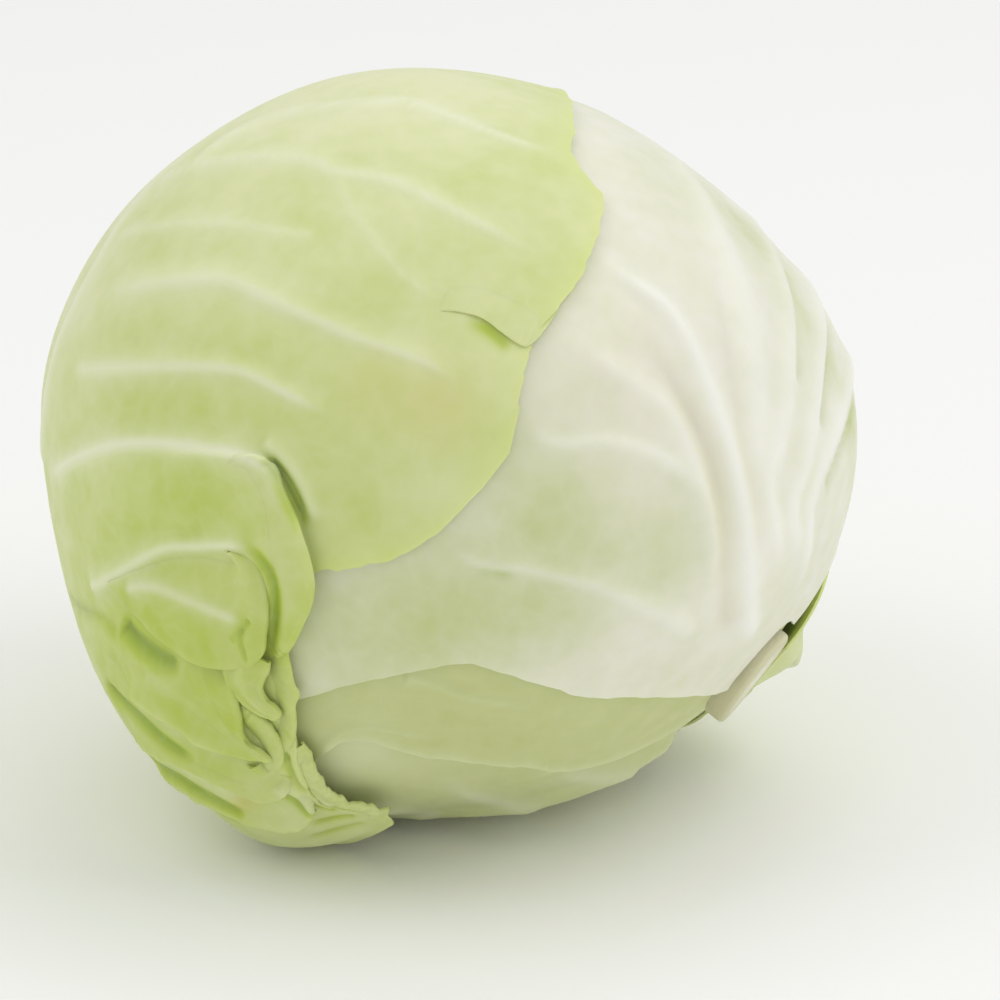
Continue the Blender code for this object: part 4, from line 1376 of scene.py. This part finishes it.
@dataclass
class Stump:
    """The cut stump of the stalk: a short round peg with a slightly uneven cut face."""

    radius: float = 13.5
    proud: float = 1.5
    bevel: float = 1.2
    slack: float = 0.4
    air: float = 0.32
    neck_levels: int = 3
    unround: tuple[tuple[float, float, float], ...] = ((3, 0.6, 0.012), (7, 0.0, 0.008))
    face_relief: float = 0.12
    face_pace: float = 0.9
    sides: int = 96
    rings: int = 24
    side_rings: int = 8
    bend_rings: int = 6

    def seat(self) -> float:
        """How far from the middle the stump starts: the heart's own seat, plus the air."""
        narrowing = math.radians(HEAD.seat_narrowing)
        heart = float(HEAD.heart(grown(0.0, HEAD.seat_narrowing))) * math.cos(narrowing)
        return heart - self.slack + self.air

    def length(self) -> float:
        """From the seat to the cut face, which stands proud of the leaves round the neck."""
        collar = float(HEAD.heart(grown(90.0, HEAD.neck))) * math.cos(math.radians(HEAD.neck))
        return collar + self.neck_levels * HEAD.step + self.proud - self.seat()

    def build(self) -> bpy.types.Object:
        """Turns the stump's profile round the stalk's line.

        The profile goes up the side, over a rounded edge and to the middle of the face. The
        stump is out of round by a few sines of the angle, and the face is uneven by a product
        of sines of its radius and angle.
        """
        seat, length = self.seat(), self.length()
        inner = self.radius - self.bevel
        rise = np.linspace(0, length - self.bevel, self.side_rings)
        turn = np.linspace(0, math.pi / 2, self.bend_rings + 1)[1:]
        inward = np.linspace(inner, 0.0, self.rings)[1:]
        profile = np.vstack([
            np.stack([np.full(len(rise), self.radius), rise], 1),
            np.stack([inner + self.bevel * np.cos(turn), rise[-1] + self.bevel * np.sin(turn)], 1),
            np.stack([inward, np.full(len(inward), length)], 1),
        ])
        angles = np.arange(self.sides) * 2 * math.pi / self.sides
        rounds = np.cos(angles)[:, None] * STALK_FRONT + np.sin(angles)[:, None] * STALK_SIDE
        wobble = 1 + sum(size * np.sin(lobes * angles + start) for lobes, start, size in self.unround)
        radii = profile[:, 0][:, None] * wobble[None]
        over_face = np.sin(radii * self.face_pace) * np.sin(2 * angles + 1.0)[None]
        uneven = self.face_relief * over_face[..., None]
        on_face = (profile[:, 1] >= length)[:, None, None]
        points = (
            HEAD.middle
            + STALK * (seat + profile[:, 1])[:, None, None]
            + rounds[None] * radii[..., None]
            + STALK * uneven * on_face
        )
        base = HEAD.middle + STALK * seat
        flat = np.vstack([base[None], points[:-1].reshape(-1, 3), points[-1].mean(axis=0)[None]])
        count = len(profile) - 1
        index = 1 + np.arange(count * self.sides).reshape(count, self.sides)
        onward = np.roll(index, -1, axis=1)
        a, b, c, d = index[:-1].ravel(), onward[:-1].ravel(), onward[1:].ravel(), index[1:].ravel()
        top = len(flat) - 1
        under = np.stack([np.zeros(self.sides, int), onward[0], index[0]], 1)
        over = np.stack([index[-1], onward[-1], np.full(self.sides, top)], 1)
        triangles = np.vstack([np.stack([a, b, c], 1), np.stack([a, c, d], 1), under, over])
        ring = np.concatenate([[1.0], np.repeat(profile[:-1, 0] / self.radius, self.sides), [0.0]])
        piece = add_piece("stalk_stump", flat, triangles, {"ring": ring}, Dress.STUMP)
        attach(piece, "root")
        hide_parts("stalk")
        return piece


@dataclass(frozen=True)
class Lamp:
    """One soft square light: its place from the middle of the head, its side and power."""

    name: str
    place: tuple[float, float, float]
    side: float
    power: float


@dataclass
class Studio:
    """The pale floor, the soft light and the camera."""

    floor_colour: str = "#FBFBFA"
    sky_colour: str = "#FFFFFF"
    sky_strength: float = 0.7
    floor_radius: float = 6.0
    floor_sides: int = 96
    floor_roughness: float = 0.9
    lens: float = 220.0
    sensor: float = 36.0
    distance: float = 1.5
    aside: float = 0.01225
    below: float = 0.0147
    lamps: tuple[Lamp, ...] = (
        Lamp("Right light", (1.0, -0.2, 1.2), 1.0, 5.0),
        Lamp("Left light", (-1.0, -0.2, 1.3), 1.0, 3.8),
        Lamp("Back light", (0.3, 0.7, 1.5), 1.0, 2.0),
    )

    def floor(self) -> None:
        """Lays a plain pale floor under the head."""
        turns = np.linspace(0, 2 * math.pi, self.floor_sides + 1)[:-1]
        rim = np.stack([np.cos(turns), np.sin(turns), np.zeros_like(turns)], 1) * self.floor_radius
        mesh = bpy.data.meshes.new("floor")
        mesh.from_pydata(rim.tolist(), [], [tuple(range(self.floor_sides))])
        settings = {"Base Color": linear(self.floor_colour), "Roughness": self.floor_roughness}
        material, _ = new_material("Matt white floor", settings)
        mesh.materials.append(material)
        floor = bpy.data.objects.new("floor", mesh)
        bpy.context.scene.collection.objects.link(floor)

    def light(self) -> None:
        """Adds the even sky and the soft lamps, each turned to the middle of the head."""
        world = bpy.data.worlds.new("Soft sky")
        world.use_nodes = True
        sky = world.node_tree.nodes["Background"]
        sky.inputs["Color"].default_value = linear(self.sky_colour)
        sky.inputs["Strength"].default_value = self.sky_strength
        bpy.context.scene.world = world
        middle = Vector(HEAD.middle * METRE)
        for lamp in self.lamps:
            data = bpy.data.lights.new(lamp.name, "AREA")
            data.shape = "SQUARE"
            data.size = lamp.side
            data.energy = lamp.power
            placed = bpy.data.objects.new(lamp.name, data)
            placed.location = middle + Vector(lamp.place)
            placed.rotation_euler = (-Vector(lamp.place)).to_track_quat("-Z", "Y").to_euler()
            bpy.context.scene.collection.objects.link(placed)

    def camera(self) -> None:
        """Places the camera in front of the shown side, looking along its line."""
        data = bpy.data.cameras.new("Camera")
        data.lens = self.lens
        data.sensor_width = self.sensor
        camera = bpy.data.objects.new("Camera", data)
        right, up, near = Vector(RIGHT), Vector(UPWARD), Vector(VIEWER)
        middle = Vector(HEAD.middle * METRE)
        place = middle + near * self.distance + right * self.aside - up * self.below
        turn = Matrix((right, up, near)).transposed().to_4x4()
        camera.matrix_world = Matrix.Translation(place) @ turn
        bpy.context.scene.collection.objects.link(camera)
        bpy.context.scene.camera = camera

    def build(self) -> None:
        """Makes the floor, the lights and the camera, with plain display of colours."""
        self.floor()
        self.light()
        self.camera()
        bpy.context.scene.view_settings.view_transform = "Standard"


def main() -> None:
    """Builds the head and its studio."""
    logging.basicConfig(level=logging.INFO, format="%(message)s")
    Head().build()
    Stump().build()
    Studio().build()


if __name__ == "__main__":
    main()
